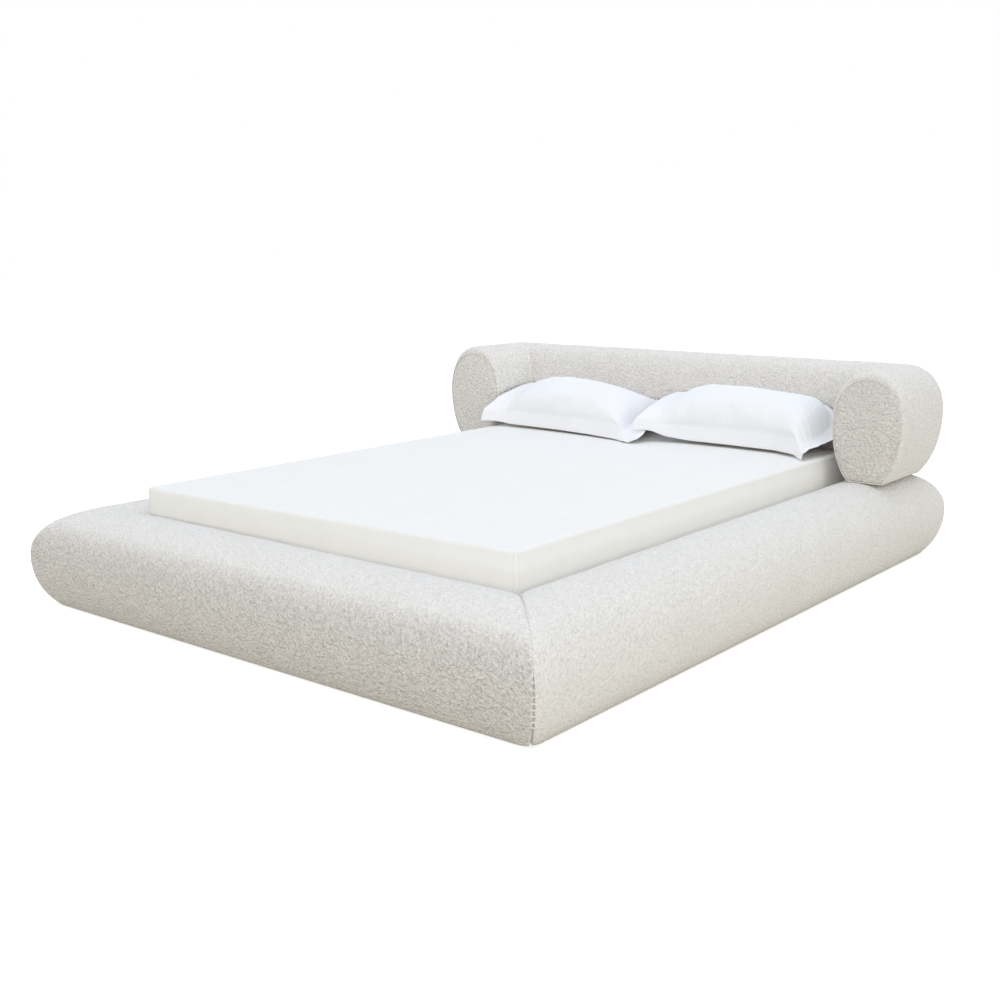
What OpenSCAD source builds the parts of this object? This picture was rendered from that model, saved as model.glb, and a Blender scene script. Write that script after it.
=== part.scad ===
// Upholstered bed: four fat bolster rails, mitred at the corners, round a sunken mattress,
// and a bolster headboard that lies on the rails and returns forward along both sides.
// The origin is on the floor under the middle of the bed. X is across it, +Y is the head, +Z is up.

/* [Mattress and bedding] */
// Width of the bare mattress
mattress_w = 1526; // [1300:1:2000]
// Length of the bare mattress
mattress_l = 2026; // [1900:1:2200]
// Thickness of the bare mattress
mattress_h = 248; // [180:1:320]
// Radius of the mattress corners in plan
mattress_corner_r = 26; // [20:1:90]
// Radius along the top and bottom edges of the mattress
mattress_edge_r = 12; // [6:1:18]
// Thickness of the fitted sheet
sheet_t = 2; // [1:0.5:4]
// Width of the hem that the sheet turns under the mattress
sheet_hem_w = 110; // [60:1:200]
// Gap between the made mattress and the rails, all round
well_gap = 3.5; // [1:0.5:12]

/* [Rail covers] */
// Width of each side rail, from the mattress well to the outside
side_rail_w = 302; // [270:1:380]
// Width of the foot rail
foot_rail_w = 315; // [270:1:380]
// Width of the head rail, under the headboard
head_rail_w = 268; // [255:1:380]
// Height of the rail covers from their underside to the crest
rail_h = 322; // [300:1:400]
// Height of the widest line of a rail above its underside
rail_bulge_h = 162; // [120:1:190]
// Distance from the crest of a rail out to its widest line
rail_back_w = 175; // [140:1:190]
// How far the outside of a rail curves back in above the floor
rail_tuck_w = 56; // [30:1:60]
// Height of the round edge beside the mattress
rail_roll_h = 75; // [40:1:90]
// Share of the rail's height that is left at the drawn-in corner seam
seam_pinch = 0.9; // [0.6:0.01:0.95]
// Length of rail over which the cover draws in to the corner seam
seam_reach = 50; // [40:1:90]
// Width by which a cover stands back from the corner at the floor, where the seam opens
seam_gap = 4; // [1:0.5:10]
// Height of the covers' underside above the floor
cover_lift = 3; // [1:0.5:6]

/* [Rail timber] */
// Thickness of the upright boards in the rails
board_t = 18; // [12:1:25]
// Thickness of the top boards in the rails
top_board_t = 14; // [9:1:20]
// Thickness of foam over the top boards
top_foam_t = 72; // [50:1:90]
// Thickness of foam outside the outer boards
side_foam_t = 73; // [60:1:90]
// Thickness of foam and fabric on the mattress side of the inner boards
inner_foam_t = 12; // [6:1:20]
// Distance that outer and top boards stay back from the corner seams
board_setback = 95; // [70:1:140]
// Height above the floor at which the cover ends on the mattress side
flap_z = 162; // [150:1:200]
// Usual spacing of the ribs inside the rails
rib_pitch = 430; // [300:1:600]
// Height of the glides under the boards
glide_h = 6; // [4:0.5:12]
// Diameter of the glides
glide_d = 30; // [20:1:40]

/* [Slats] */
// Number of slats
slat_count = 13; // [9:1:15]
// Width of one slat
slat_w = 70; // [50:1:90]
// Thickness of one slat
slat_t = 18; // [12:1:24]
// Height of the slats' upper face above the floor
slat_top_z = 150; // [140:1:158]
// Gap between a slat's end and the board beside it
slat_end_gap = 3; // [1:0.5:6]
// Distance from the ends of the well to the first and last slat
slat_margin = 40; // [20:1:90]
// Width of the ledges that carry the slats
ledge_w = 32; // [24:1:50]
// Height of the ledges
ledge_h = 28; // [20:1:30]
// Number of screws in each ledge
ledge_screw_count = 8; // [4:1:12]
// Width of the two tapes that space the slats
tape_w = 25; // [15:1:40]
// Thickness of the tapes
tape_t = 1; // [0.5:0.5:2]
// Distance of each tape from the middle of the bed
tape_x = 420; // [200:1:520]

/* [Centre support] */
// Width of the centre beam
beam_w = 50; // [40:1:70]
// Height of the centre beam
beam_h = 66; // [50:1:72]
// Thickness of the steel beam hangers
hanger_t = 3; // [2:0.5:5]
// Depth of the beam hangers along the beam
hanger_l = 45; // [30:1:70]
// Width of the flange on each side of a beam hanger
hanger_ear_w = 24; // [20:1:36]
// Distance between the two centre legs
leg_spacing = 760; // [500:1:1100]
// Diameter of the centre legs
leg_d = 46; // [36:1:60]
// Diameter of the levelling pads
pad_d = 44; // [36:1:60]
// Thickness of the levelling pads
pad_h = 12; // [10:1:16]
// Height of the collar on top of a levelling pad
collar_h = 5; // [3:1:6]
// Diameter of the threaded stems
stem_d = 10; // [8:1:12]
// Distance that the levelling feet screw out
foot_travel = 12; // [6:1:15]

/* [Headboard] */
// Height of the headboard from the rails' crest to its top
head_h = 410; // [380:1:520]
// Height of the headboard's widest line above its underside
head_bulge_h = 228; // [200:1:260]
// Thickness of the headboard's side returns
arm_t = 280; // [230:1:300]
// Thickness of the headboard's back
back_t = 212; // [190:1:240]
// Distance from the rails' head end to the front of the side returns
arm_reach = 477; // [470:1:640]
// Distance that the back stands in from the rails' head end
back_inset = 14; // [0:1:16]
// Half height that the lower curve of the section would have if it went on to a point
head_drop_h = 262; // [262:1:300]
// Radius of the headboard's outer corners in plan
head_corner_r = 92; // [60:1:140]
// Length over which a side return rounds over to its end panel
arm_round_l = 34; // [20:1:50]
// Share of the section that is left at the end panel's seam
arm_end_share = 0.93; // [0.85:0.01:0.97]
// Thickness of the end panels, with their crown
panel_t = 12; // [10:1:16]
// Width of the piping round an end panel
piping_w = 4; // [3:0.5:6]

/* [Headboard timber] */
// Thickness of the plywood in the headboard
ply_t = 15; // [12:1:18]
// Thickness across the boxes in the side returns
arm_box_w = 108; // [96:1:116]
// Thickness across the box in the back
back_box_w = 80; // [72:1:90]
// Height of the boxes in the headboard
head_box_h = 300; // [260:1:310]
// Height of the boxes above the headboard's underside
head_box_lift = 10; // [4:1:16]
// Thickness of the steel posts that join the headboard to the rails
post_t = 6; // [4:1:8]
// Width of the steel posts
post_w = 44; // [36:1:50]
// Gap between the front wall of a side return's box and the heads of the post's bolts
arm_post_gap = 2; // [1:0.5:6]
// Distance of the two back posts from the middle of the bed
back_post_x = 520; // [300:1:620]

/* [Fasteners] */
// Diameter of the frame bolts
bolt_d = 8; // [6:1:10]
// Diameter of the frame bolts' heads and nuts
bolt_head_d = 16; // [13:1:20]
// Thickness of the frame bolts' heads and nuts
bolt_head_h = 6; // [4:0.5:8]
// Thickness of the corner plates
bracket_t = 4; // [3:0.5:6]
// Distance from a corner plate's outer bolts to its ends
bracket_edge = 16; // [12:1:24]
// Height of the corner plates
bracket_h = 76; // [66:1:84]
// Diameter of the wood screws
screw_d = 5; // [4:0.5:6]
// Length of the wood screws' shanks in a ledge
ledge_screw_l = 44; // [38:1:49]
// Length of the wood screws' shanks in a beam hanger
hanger_screw_l = 18; // [12:1:20]

/* [Pillows] */
// Width of a pillowcase, with its flange
pillow_w = 770; // [650:1:776]
// Distance from a pillowcase's front edge to its back edge, measured level
pillow_run = 350; // [300:1:420]
// Height by which the back edge of a pillow stands above its front edge
pillow_rise = 140; // [80:1:160]
// Extra height of the right pillow's back edge, as the two are plumped differently
right_pillow_extra = 22; // [0:1:30]
// Greatest thickness of a filled pillow
pillow_t = 204; // [120:1:210]
// Width of the flange round a pillowcase
flange_w = 42; // [30:1:70]
// Thickness of the flange
flange_t = 4; // [3:0.5:6]
// Thickness of the pillowcase's cloth
case_t = 2; // [1:0.5:3]
// Height of a pillow's front edge over the sheet
pillow_front_lift = 20; // [12:1:60]
// Gap between the pillows and the headboard's face
pillow_back_gap = 5; // [4:1:30]
// Gap between the two pillows
pillow_gap = 8; // [2:1:40]
// Distance that the pair of pillows lies off the middle of the bed, towards the left
pillow_shift = 10; // [0:1:15]

/* [Hidden] */
// Running clearance between soft pieces that lie on each other
fit = 0.3;
// Clearance all round a bolt or screw in its hole
hole_play = 0.2;
// Overlap that makes a cut pass cleanly through a face
cut = 1;
// Counts of faces round legs and pads, round bolts and glides, round screws, and round nuts
leg_faces = 48;
bolt_faces = 32;
screw_faces = 24;
nut_sides = 6;

rail_z0 = cover_lift;
rail_top_z = rail_z0 + rail_h;
rail_mid_z = rail_z0 + rail_bulge_h;
timber_z0 = glide_h;
timber_top_z = rail_top_z - top_foam_t;
timber_h = timber_top_z - timber_z0;

bed_margin = sheet_t + well_gap;
well_w = mattress_w + 2 * bed_margin;
well_l = mattress_l + 2 * bed_margin;
well_y = (foot_rail_w - head_rail_w) / 2;
well_foot_y = well_y - well_l / 2;
well_head_y = well_y + well_l / 2;
bed_head_y = well_head_y + head_rail_w;
bed_side_x = well_w / 2 + side_rail_w;
inner_board_face = well_w / 2 + inner_foam_t;

sheet_z0 = slat_top_z;
mattress_z0 = sheet_z0 + sheet_t;
mattress_top_z = mattress_z0 + mattress_h;
sheet_top_z = mattress_top_z + sheet_t;

// Shape of the rounder upper curve of a rail: 2 would be an ellipse
rail_squareness = 2.15;
// Half width and half height of the ellipse that the lower curve of a rail follows
rail_low_w = 125;
rail_low_h = rail_bulge_h / sqrt(1 - pow((rail_low_w - rail_tuck_w) / rail_low_w, 2));
// Counts of faces round the parts of a rail's section
roll_steps = 4;
crest_steps = 6;
tuck_steps = 4;

slat_z0 = slat_top_z - slat_t;
slat_l = 2 * (inner_board_face - slat_end_gap);
slat_first_y = well_foot_y + slat_margin + slat_w / 2;
slat_step = (well_l - 2 * slat_margin - slat_w) / (slat_count - 1);
ledge_z0 = slat_z0 - ledge_h;
ledge_end_gap = 60;
ledge_l = well_l - 2 * ledge_end_gap;

beam_z0 = slat_z0 - beam_h;
beam_end_gap = 2;
beam_l = well_l + 2 * (inner_foam_t - hanger_t - beam_end_gap);
leg_z0 = pad_h + collar_h;
leg_h = beam_z0 - leg_z0;
leg_ys = [well_y - leg_spacing / 2, well_y + leg_spacing / 2];
stem_z0 = pad_h / 2;
// Least length of stem that stays in the leg when a foot is screwed out all the way
stem_grip = 30;
stem_in_leg = stem_grip + foot_travel;
stem_l = leg_z0 - stem_z0 + stem_in_leg;
stem_end_gap = 2;
stem_flange_r = stem_d / 2 + 4;
stem_flange_h = 3;
collar_r = leg_d / 2 - 6;

// The centre line of the headboard's section and its two half thicknesses
arm_half = arm_t / 2;
back_half = back_t / 2;
arm_x = bed_side_x - arm_half;
back_y = bed_head_y - back_inset - back_half;
head_z0 = rail_top_z + fit;
head_bulge_z = head_z0 + head_bulge_h;
head_rise_h = head_h - fit - head_bulge_h;
arm_front_y = bed_head_y - arm_reach;
cover_front_y = arm_front_y + panel_t + fit;
// Radii in plan of the headboard's inner corners and of the crest line between
inner_corner_r = 10;
crest_corner_r = 24;
head_low_angle = asin(head_bulge_h / head_drop_h);
head_rise_steps = 5;
// Shape of the section's upper curve: 2 would be an ellipse
head_squareness = 2.2;
head_drop_steps = 4;

head_box_z0 = head_z0 + head_box_lift;
arm_box_y0 = cover_front_y + arm_round_l;
arm_box_y1 = back_y + back_box_w / 2;
arm_box_x0 = arm_x - arm_box_w / 2;
arm_post_y = arm_box_y0 + ply_t + arm_post_gap + bolt_head_h + post_t / 2;

bolt_r = bolt_d / 2;
bolt_hole_r = bolt_r + hole_play;
bolt_head_r = bolt_head_d / 2;
screw_r = screw_d / 2;
screw_hole_r = screw_r + hole_play;
screw_head_r = screw_d;
screw_head_h = 3;
bracket_lift = 6;
bracket_z0 = timber_z0 + bracket_lift;
// Room between the nuts of a corner plate and the foam in the corner
nut_room = 15;
bracket_bolt_in = board_setback - board_t + bolt_head_r + nut_room;
bracket_leg = bracket_bolt_in + bracket_edge;
bracket_bolt_edge = 18;
bracket_bolt_zs = [bracket_z0 + bracket_bolt_edge, bracket_z0 + bracket_h - bracket_bolt_edge];
post_z0 = 84;
post_in_head = 190;
post_z1 = head_box_z0 + post_in_head;
post_bolt_edge = 26;
post_bolt_pitch = 80;
post_low_zs = [post_z0 + post_bolt_edge, post_z0 + post_bolt_edge + post_bolt_pitch];
post_high_zs = [post_z1 - post_bolt_edge - post_bolt_pitch, post_z1 - post_bolt_edge];

// The pillows stay in front of the headboard's widest line, so that they lift away freely
pillow_back_y = back_y - back_half - pillow_back_gap;
pillow_front_y = pillow_back_y - pillow_run;
pillow_front_z = sheet_top_z + pillow_front_lift;
// Two pillows and the gap between them never need more than the room between the side returns
pillow_room_w = arm_x - arm_half - pillow_gap / 2 - pillow_shift - 2 * fit;
case_w = min(pillow_w, pillow_room_w);
pillow_step_x = case_w + pillow_gap;
pillow_xs = [-pillow_step_x / 2 - pillow_shift, pillow_step_x / 2 - pillow_shift];
pillow_rises = [pillow_rise, pillow_rise + right_pillow_extra];
insert_edge_t = 2;
// How a pillow's middle surface steepens towards its back edge: 1 would be a flat slope
pillow_lean = 0.85;
// Fullness of the filling across, from front to back, and over its edges
fill_round_u = 4.5;
fill_round_v = 3;
fill_round_edge = 0.5;
// How far the grid of a pillow crowds towards the edges of its filling
grid_crowd = 1.5;
pillow_steps_u = 10;
pillow_steps_v = 8;
// Share by which the sides of a pillow draw in between its corners
pillow_draw = 0.035;
// Share by which the back corners of a pillow droop below the middle of its back edge
pillow_droop = 0.1;

slat_names = [for (i = [1:slat_count]) str("slat_", i)];

// Shared shapes

// Closed mesh from rows of points that run round it, with its two ends capped
module lofted(rows) {
    n = len(rows[0]);
    m = len(rows);
    middles = [for (r = [rows[0], rows[m - 1]]) mean(r)];
    points = concat([for (r = rows) each r], middles);
    sides = [for (i = [0:m - 2]) for (k = [0:n - 1]) let (a = i * n + k, b = i * n + (k + 1) % n)
        each [[a, a + n, b + n], [a, b + n, b]]];
    first = [for (k = [0:n - 1]) [(k + 1) % n, m * n, k]];
    last = [for (k = [0:n - 1]) [(m - 1) * n + k, m * n + 1, (m - 1) * n + (k + 1) % n]];
    polyhedron(points, concat(sides, first, last));
}

// Closed mesh between an upper and a lower sheet of points, each a list of rows
module quilted(upper, lower) {
    m = len(upper);
    n = len(upper[0]);
    low = m * n;
    points = concat([for (r = upper) each r], [for (r = lower) each r]);
    faces_up = [for (i = [0:m - 2]) for (k = [0:n - 2]) let (a = i * n + k)
        each [[a, a + n + 1, a + n], [a, a + 1, a + n + 1]]];
    faces_down = [for (f = faces_up) [f[0] + low, f[2] + low, f[1] + low]];
    rim = concat(
        [for (k = [0:n - 1]) k],
        [for (i = [1:m - 1]) i * n + n - 1],
        [for (k = [n - 2:-1:0]) (m - 1) * n + k],
        [for (i = [m - 2:-1:1]) i * n]);
    edges = [for (i = [0:len(rim) - 1]) let (a = rim[i], b = rim[(i + 1) % len(rim)])
        each [[a, a + low, b + low], [a, b + low, b]]];
    polyhedron(points, concat(faces_up, faces_down, edges));
}

function mean(points) = [for (axis = [0:2]) sum_of(points, axis) / len(points)];
function sum_of(points, axis) = [for (p = points) p[axis]] * [for (p = points) 1];
function mix(a, b, share) = a + (b - a) * share;
function round_in(share) = 1 - sqrt(1 - pow(1 - min(share, 1), 2));

// Bolt along +Z: its head under the start, its shank going up
module bolt(length) {
    translate([0, 0, -bolt_head_h]) cylinder(h = bolt_head_h, r = bolt_head_r, $fn = bolt_faces);
    cylinder(h = length, r = bolt_r, $fn = bolt_faces);
}

// Nut with a hole for the bolt, along +Z
module nut() {
    difference() {
        cylinder(h = bolt_head_h, r = bolt_head_r, $fn = nut_sides);
        translate([0, 0, -cut]) cylinder(h = bolt_head_h + 2 * cut, r = bolt_hole_r, $fn = bolt_faces);
    }
}

// Wood screw along +Z, with a flat head under the start
module wood_screw(length) {
    translate([0, 0, -screw_head_h]) cylinder(h = screw_head_h, r = screw_head_r, $fn = screw_faces);
    cylinder(h = length, r = screw_r, $fn = screw_faces);
}

// Rails. Each is drawn along X with its mattress side on y = 0 and its outside towards -Y.
// The widths at its two ends are those of the rails that it meets there.

function rail_reach(w, l, end_w, out) = l / 2 + out * end_w / w;

// Section of a cover as [distance out from the well, height], from the well's lower edge round
function rail_section(w) = let (crest = w - rail_back_w, roll_z = rail_top_z - rail_roll_h) concat(
    [[0, rail_z0]],
    [for (i = [0:roll_steps - 1]) let (a = 90 * i / roll_steps)
        [crest * (1 - cos(a)), roll_z + rail_roll_h * sin(a)]],
    [for (i = [0:crest_steps]) let (a = 90 - 90 * i / crest_steps, e = 2 / rail_squareness)
        [crest + rail_back_w * pow(cos(a), e), rail_mid_z + (rail_top_z - rail_mid_z) * pow(sin(a), e)]],
    [for (i = [1:tuck_steps]) let (a = asin(rail_bulge_h / rail_low_h) * i / tuck_steps)
        [w - rail_low_w * (1 - cos(a)), rail_mid_z - rail_low_h * sin(a)]]);

// The same section where the seam at the corner has drawn it in by a share from 0 to 1
function pinched(p, w, share) = [
    p[0] - share * seam_gap * p[0] / w,
    mix(p[1], rail_mid_z + (p[1] - rail_mid_z) * seam_pinch, share)];

function rail_row(w, l, end_w, side, back) = let (share = round_in(back / seam_reach))
    [for (p = rail_section(w)) let (q = pinched(p, w, share),
        open = fit / 2 + seam_gap * (1 - back / seam_reach) * max(0, 1 - q[1] / rail_mid_z))
        [side * (rail_reach(w, l, end_w, q[0]) - back - open), -q[0], q[1]]];

seam_shares = [0, 0.1, 0.24, 0.46, 0.72, 1];

module rail_form(w, l, low_w, high_w) {
    low = [for (s = seam_shares) rail_row(w, l, low_w, -1, s * seam_reach)];
    high = [for (i = [len(seam_shares) - 1:-1:0]) rail_row(w, l, high_w, 1, seam_shares[i] * seam_reach)];
    lofted(concat(low, high));
}

// Upright slab between two distances out from the well, held back from the corner seams
module rail_slab(w, l, low_w, high_w, out0, out1, z0, z1, back) {
    translate([0, 0, z0]) linear_extrude(z1 - z0) polygon([
        [back - rail_reach(w, l, low_w, out0), -out0],
        [rail_reach(w, l, high_w, out0) - back, -out0],
        [rail_reach(w, l, high_w, out1) - back, -out1],
        [back - rail_reach(w, l, low_w, out1), -out1]]);
}

module rail_cover_shape(w, l, low_w, high_w) {
    difference() {
        rail_form(w, l, low_w, high_w);
        rail_slab(w, l, low_w, high_w, inner_foam_t, inner_foam_t + board_t, -cut, timber_top_z, 0);
        rail_slab(w, l, low_w, high_w, inner_foam_t, w - side_foam_t, -cut, timber_top_z, board_setback);
        rail_slab(w, l, low_w, high_w, -cut, inner_foam_t + cut, -cut, flap_z, -cut);
    }
}

// Evenly spaced ribs, the end ones just inside the nuts of the corner plates
rib_end = bracket_bolt_in - inner_foam_t + bolt_head_r + board_t;
function rib_xs(l) = let (n = round(l / rib_pitch), run = l - 2 * rib_end)
    [for (i = [0:n]) -run / 2 + run * i / n];

module rail_ribs(w, xs) {
    for (x = xs) {
        translate([x - board_t / 2, side_foam_t - w, timber_z0])
            cube([board_t, w - side_foam_t - inner_foam_t, timber_h]);
    }
}

module rail_timber_shape(w, l, low_w, high_w, xs) {
    out1 = w - side_foam_t;
    rail_slab(w, l, low_w, high_w, inner_foam_t, inner_foam_t + board_t, timber_z0, timber_top_z, fit);
    rail_slab(w, l, low_w, high_w, out1 - board_t, out1, timber_z0, timber_top_z, board_setback);
    rail_slab(w, l, low_w, high_w, inner_foam_t, out1, timber_top_z - top_board_t, timber_top_z,
        board_setback + fit);
    rail_ribs(w, xs);
}

module at_foot() { translate([0, well_foot_y, 0]) children(); }
module at_head() { translate([0, well_head_y, 0]) rotate([0, 0, 180]) children(); }
module at_right() { translate([well_w / 2, well_y, 0]) rotate([0, 0, 90]) children(); }
module at_left() { translate([-well_w / 2, well_y, 0]) rotate([0, 0, -90]) children(); }

// Ribs stand where the headboard's posts are bolted on, beside the evenly spaced ones
arm_rib_y = arm_post_y + post_t / 2 + board_t / 2;
back_rib_x = back_post_x + post_t / 2 + board_t / 2;
side_rib_ys = [for (y = rib_xs(well_l)) if (abs(y + well_y - arm_rib_y) > 2 * board_t) y];
head_rib_xs = [for (x = rib_xs(well_w)) if (abs(abs(x) - back_rib_x) > 2 * board_t) x];

module foot_rail_timber() {
    color("burlywood") difference() {
        at_foot() rail_timber_shape(foot_rail_w, well_w, side_rail_w, side_rail_w, rib_xs(well_w));
        corner_holes();
        hanger_holes();
    }
}

module head_rail_timber() {
    color("burlywood") difference() {
        at_head() rail_timber_shape(head_rail_w, well_w, side_rail_w, side_rail_w,
            concat(head_rib_xs, [-back_rib_x, back_rib_x]));
        corner_holes();
        hanger_holes();
        post_cuts();
    }
}

module right_rail_timber() {
    color("burlywood") difference() {
        at_right() rail_timber_shape(side_rail_w, well_l, foot_rail_w, head_rail_w,
            concat(side_rib_ys, [arm_rib_y - well_y]));
        corner_holes();
        ledge_holes();
        post_cuts();
    }
}

module left_rail_timber() {
    color("burlywood") difference() {
        at_left() rail_timber_shape(side_rail_w, well_l, head_rail_w, foot_rail_w,
            concat([for (y = side_rib_ys) -y], [well_y - arm_rib_y]));
        corner_holes();
        ledge_holes();
        post_cuts();
    }
}

module foot_rail_cover() {
    color("ivory") at_foot() rail_cover_shape(foot_rail_w, well_w, side_rail_w, side_rail_w);
}

module head_rail_cover() {
    color("ivory") difference() {
        at_head() rail_cover_shape(head_rail_w, well_w, side_rail_w, side_rail_w);
        post_slots();
    }
}

module right_rail_cover() {
    color("ivory") difference() {
        at_right() rail_cover_shape(side_rail_w, well_l, foot_rail_w, head_rail_w);
        post_slots();
    }
}

module left_rail_cover() {
    color("ivory") difference() {
        at_left() rail_cover_shape(side_rail_w, well_l, head_rail_w, foot_rail_w);
        post_slots();
    }
}

module rail_glides() {
    color("dimgray") {
        at_foot() glide_row(foot_rail_w, rib_xs(well_w));
        at_head() glide_row(head_rail_w, concat(head_rib_xs, [-back_rib_x, back_rib_x]));
        at_right() glide_row(side_rail_w, side_rib_ys);
        at_left() glide_row(side_rail_w, [for (y = side_rib_ys) -y]);
    }
}

module glide_row(w, xs) {
    for (x = xs) {
        for (out = [inner_foam_t + glide_d / 2, w - side_foam_t - glide_d / 2]) {
            translate([x, -out, 0]) cylinder(h = glide_h, r = glide_d / 2, $fn = bolt_faces);
        }
    }
}

// Corner plates, inside the four corners of the well and below the slats

module at_corners() {
    for (sx = [-1, 1]) {
        translate([sx * inner_board_face, well_foot_y - inner_foam_t, 0])
            mirror([sx > 0 ? 1 : 0, 0, 0]) children();
        translate([sx * inner_board_face, well_head_y + inner_foam_t, 0])
            mirror([0, 1, 0]) mirror([sx > 0 ? 1 : 0, 0, 0]) children();
    }
}

// Places a bolt's axis at each hole of one corner plate, pointing into the timber
module at_corner_bolts(back) {
    for (z = bracket_bolt_zs) {
        translate([bracket_bolt_in, -back, z]) rotate([90, 0, 0]) children();
        translate([-back, bracket_bolt_in, z]) rotate([0, -90, 0]) children();
    }
}

module corner_plates() {
    color("gray") at_corners() difference() {
        translate([0, 0, bracket_z0]) linear_extrude(bracket_h) polygon([
            [0, 0], [bracket_leg, 0], [bracket_leg, bracket_t],
            [bracket_t, bracket_t], [bracket_t, bracket_leg], [0, bracket_leg]]);
        at_corner_bolts(0) translate([0, 0, -bracket_t - cut])
            cylinder(h = bracket_t + 2 * cut, r = bolt_hole_r, $fn = bolt_faces);
    }
}

module corner_holes() {
    at_corners() at_corner_bolts(0) translate([0, 0, -cut])
        cylinder(h = board_t + 2 * cut, r = bolt_hole_r, $fn = bolt_faces);
}

module corner_bolts() {
    color("silver") at_corners() at_corner_bolts(-bracket_t)
        bolt(bracket_t + board_t + bolt_head_h);
}

module corner_nuts() {
    color("silver") at_corners() at_corner_bolts(board_t) nut();
}

// Slat ledges and slats

ledge_screw_ys = [for (i = [0:ledge_screw_count - 1])
    well_y - ledge_l / 2 + ledge_l * (i + 0.5) / ledge_screw_count];

module slat_ledge(side) {
    difference() {
        translate([side > 0 ? inner_board_face - ledge_w : -inner_board_face, well_y - ledge_l / 2, ledge_z0])
            cube([ledge_w, ledge_l, ledge_h]);
        ledge_holes();
    }
}

module left_slat_ledge() { color("burlywood") slat_ledge(-1); }
module right_slat_ledge() { color("burlywood") slat_ledge(1); }

module at_ledge_screws() {
    for (y = ledge_screw_ys) {
        for (side = [-1, 1]) {
            translate([side * (inner_board_face - ledge_w), y, ledge_z0 + ledge_h / 2])
                rotate([0, side * 90, 0]) children();
        }
    }
}

module ledge_holes() {
    at_ledge_screws() translate([0, 0, -cut])
        cylinder(h = ledge_screw_l + hole_play + cut, r = screw_hole_r, $fn = screw_faces);
}

module ledge_screws() {
    color("goldenrod") at_ledge_screws() wood_screw(ledge_screw_l);
}

module slat(i) {
    color("wheat") translate([-slat_l / 2, slat_first_y - slat_w / 2 + (i - 1) * slat_step, slat_z0])
        cube([slat_l, slat_w, slat_t]);
}

module slat_tape(x) {
    translate([x - tape_w / 2, slat_first_y - slat_w / 2, slat_z0 - tape_t])
        cube([tape_w, well_l - 2 * slat_margin, tape_t]);
}

module left_slat_tape() { color("whitesmoke") slat_tape(-tape_x); }
module right_slat_tape() { color("whitesmoke") slat_tape(tape_x); }

// Centre beam, its hangers, legs and levelling feet

module centre_beam() {
    color("burlywood") difference() {
        translate([-beam_w / 2, well_y - beam_l / 2, beam_z0]) cube([beam_w, beam_l, beam_h]);
        for (y = leg_ys) {
            translate([0, y, beam_z0 - cut]) cylinder(h = leg_spigot_h + hole_play + cut,
                r = leg_spigot_r + hole_play, $fn = bolt_faces);
        }
    }
}

hanger_half = beam_w / 2 + fit + hanger_t;
hanger_top_gap = 8;
hanger_h = beam_h - hanger_top_gap;
hanger_screw_edge = 14;
hanger_z0 = beam_z0 - hanger_t;

// Draws a hanger's contents at both ends of the beam, with the board's face on y = 0
module at_hangers() {
    translate([0, well_foot_y - inner_foam_t, 0]) children();
    translate([0, well_head_y + inner_foam_t, 0]) mirror([0, 1, 0]) children();
}

module at_hanger_screws(back) {
    for (side = [-1, 1]) {
        for (z = [hanger_z0 + hanger_screw_edge, hanger_z0 + hanger_h - hanger_screw_edge]) {
            translate([side * (hanger_half + hanger_ear_w / 2), -back, z]) rotate([90, 0, 0]) children();
        }
    }
}

module beam_hangers() {
    color("gray") at_hangers() difference() {
        union() {
            translate([-hanger_half - hanger_ear_w, 0, hanger_z0])
                cube([2 * (hanger_half + hanger_ear_w), hanger_t, hanger_h]);
            translate([-hanger_half, 0, hanger_z0]) cube([2 * hanger_half, hanger_l, hanger_h]);
        }
        translate([hanger_t - hanger_half, hanger_t, beam_z0])
            cube([2 * (hanger_half - hanger_t), hanger_l, hanger_h]);
        at_hanger_screws(0) translate([0, 0, -hanger_t - cut])
            cylinder(h = hanger_t + 2 * cut, r = screw_hole_r, $fn = screw_faces);
    }
}

module hanger_holes() {
    at_hangers() at_hanger_screws(0) translate([0, 0, -cut])
        cylinder(h = hanger_screw_l - hanger_t + hole_play + cut, r = screw_hole_r, $fn = screw_faces);
}

module hanger_screws() {
    color("goldenrod") at_hangers() at_hanger_screws(-hanger_t) wood_screw(hanger_screw_l);
}

leg_spigot_r = 9;
leg_spigot_h = 24;

// Turned leg with a spigot in the beam and a threaded hole for its levelling stem
module centre_leg(y) {
    translate([0, y, 0]) difference() {
        union() {
            translate([0, 0, leg_z0]) cylinder(h = leg_h, r = leg_d / 2, $fn = leg_faces);
            translate([0, 0, beam_z0]) cylinder(h = leg_spigot_h, r = leg_spigot_r, $fn = bolt_faces);
        }
        translate([0, 0, leg_z0 - cut]) cylinder(h = stem_in_leg + stem_end_gap + cut,
            r = stem_d / 2 + hole_play, $fn = bolt_faces);
    }
}

module front_centre_leg() { color("tan") centre_leg(leg_ys[0]); }
module rear_centre_leg() { color("tan") centre_leg(leg_ys[1]); }

// Pad with a socket that holds the stem's flange and lets it turn
module levelling_pad(y) {
    translate([0, y, 0]) difference() {
        union() {
            cylinder(h = pad_h, r = pad_d / 2, $fn = leg_faces);
            translate([0, 0, pad_h]) cylinder(h = collar_h, r = collar_r, $fn = leg_faces);
        }
        translate([0, 0, stem_z0 - hole_play])
            cylinder(h = stem_flange_h + 2 * hole_play, r = stem_flange_r + hole_play, $fn = bolt_faces);
        translate([0, 0, stem_z0])
            cylinder(h = pad_h + collar_h, r = stem_d / 2 + hole_play, $fn = bolt_faces);
    }
}

// Threaded stem with a flange at its foot, drawn as a plain round bar
module levelling_stem(y) {
    translate([0, y, stem_z0]) {
        cylinder(h = stem_flange_h, r = stem_flange_r, $fn = bolt_faces);
        cylinder(h = stem_l, r = stem_d / 2, $fn = bolt_faces);
    }
}

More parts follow.
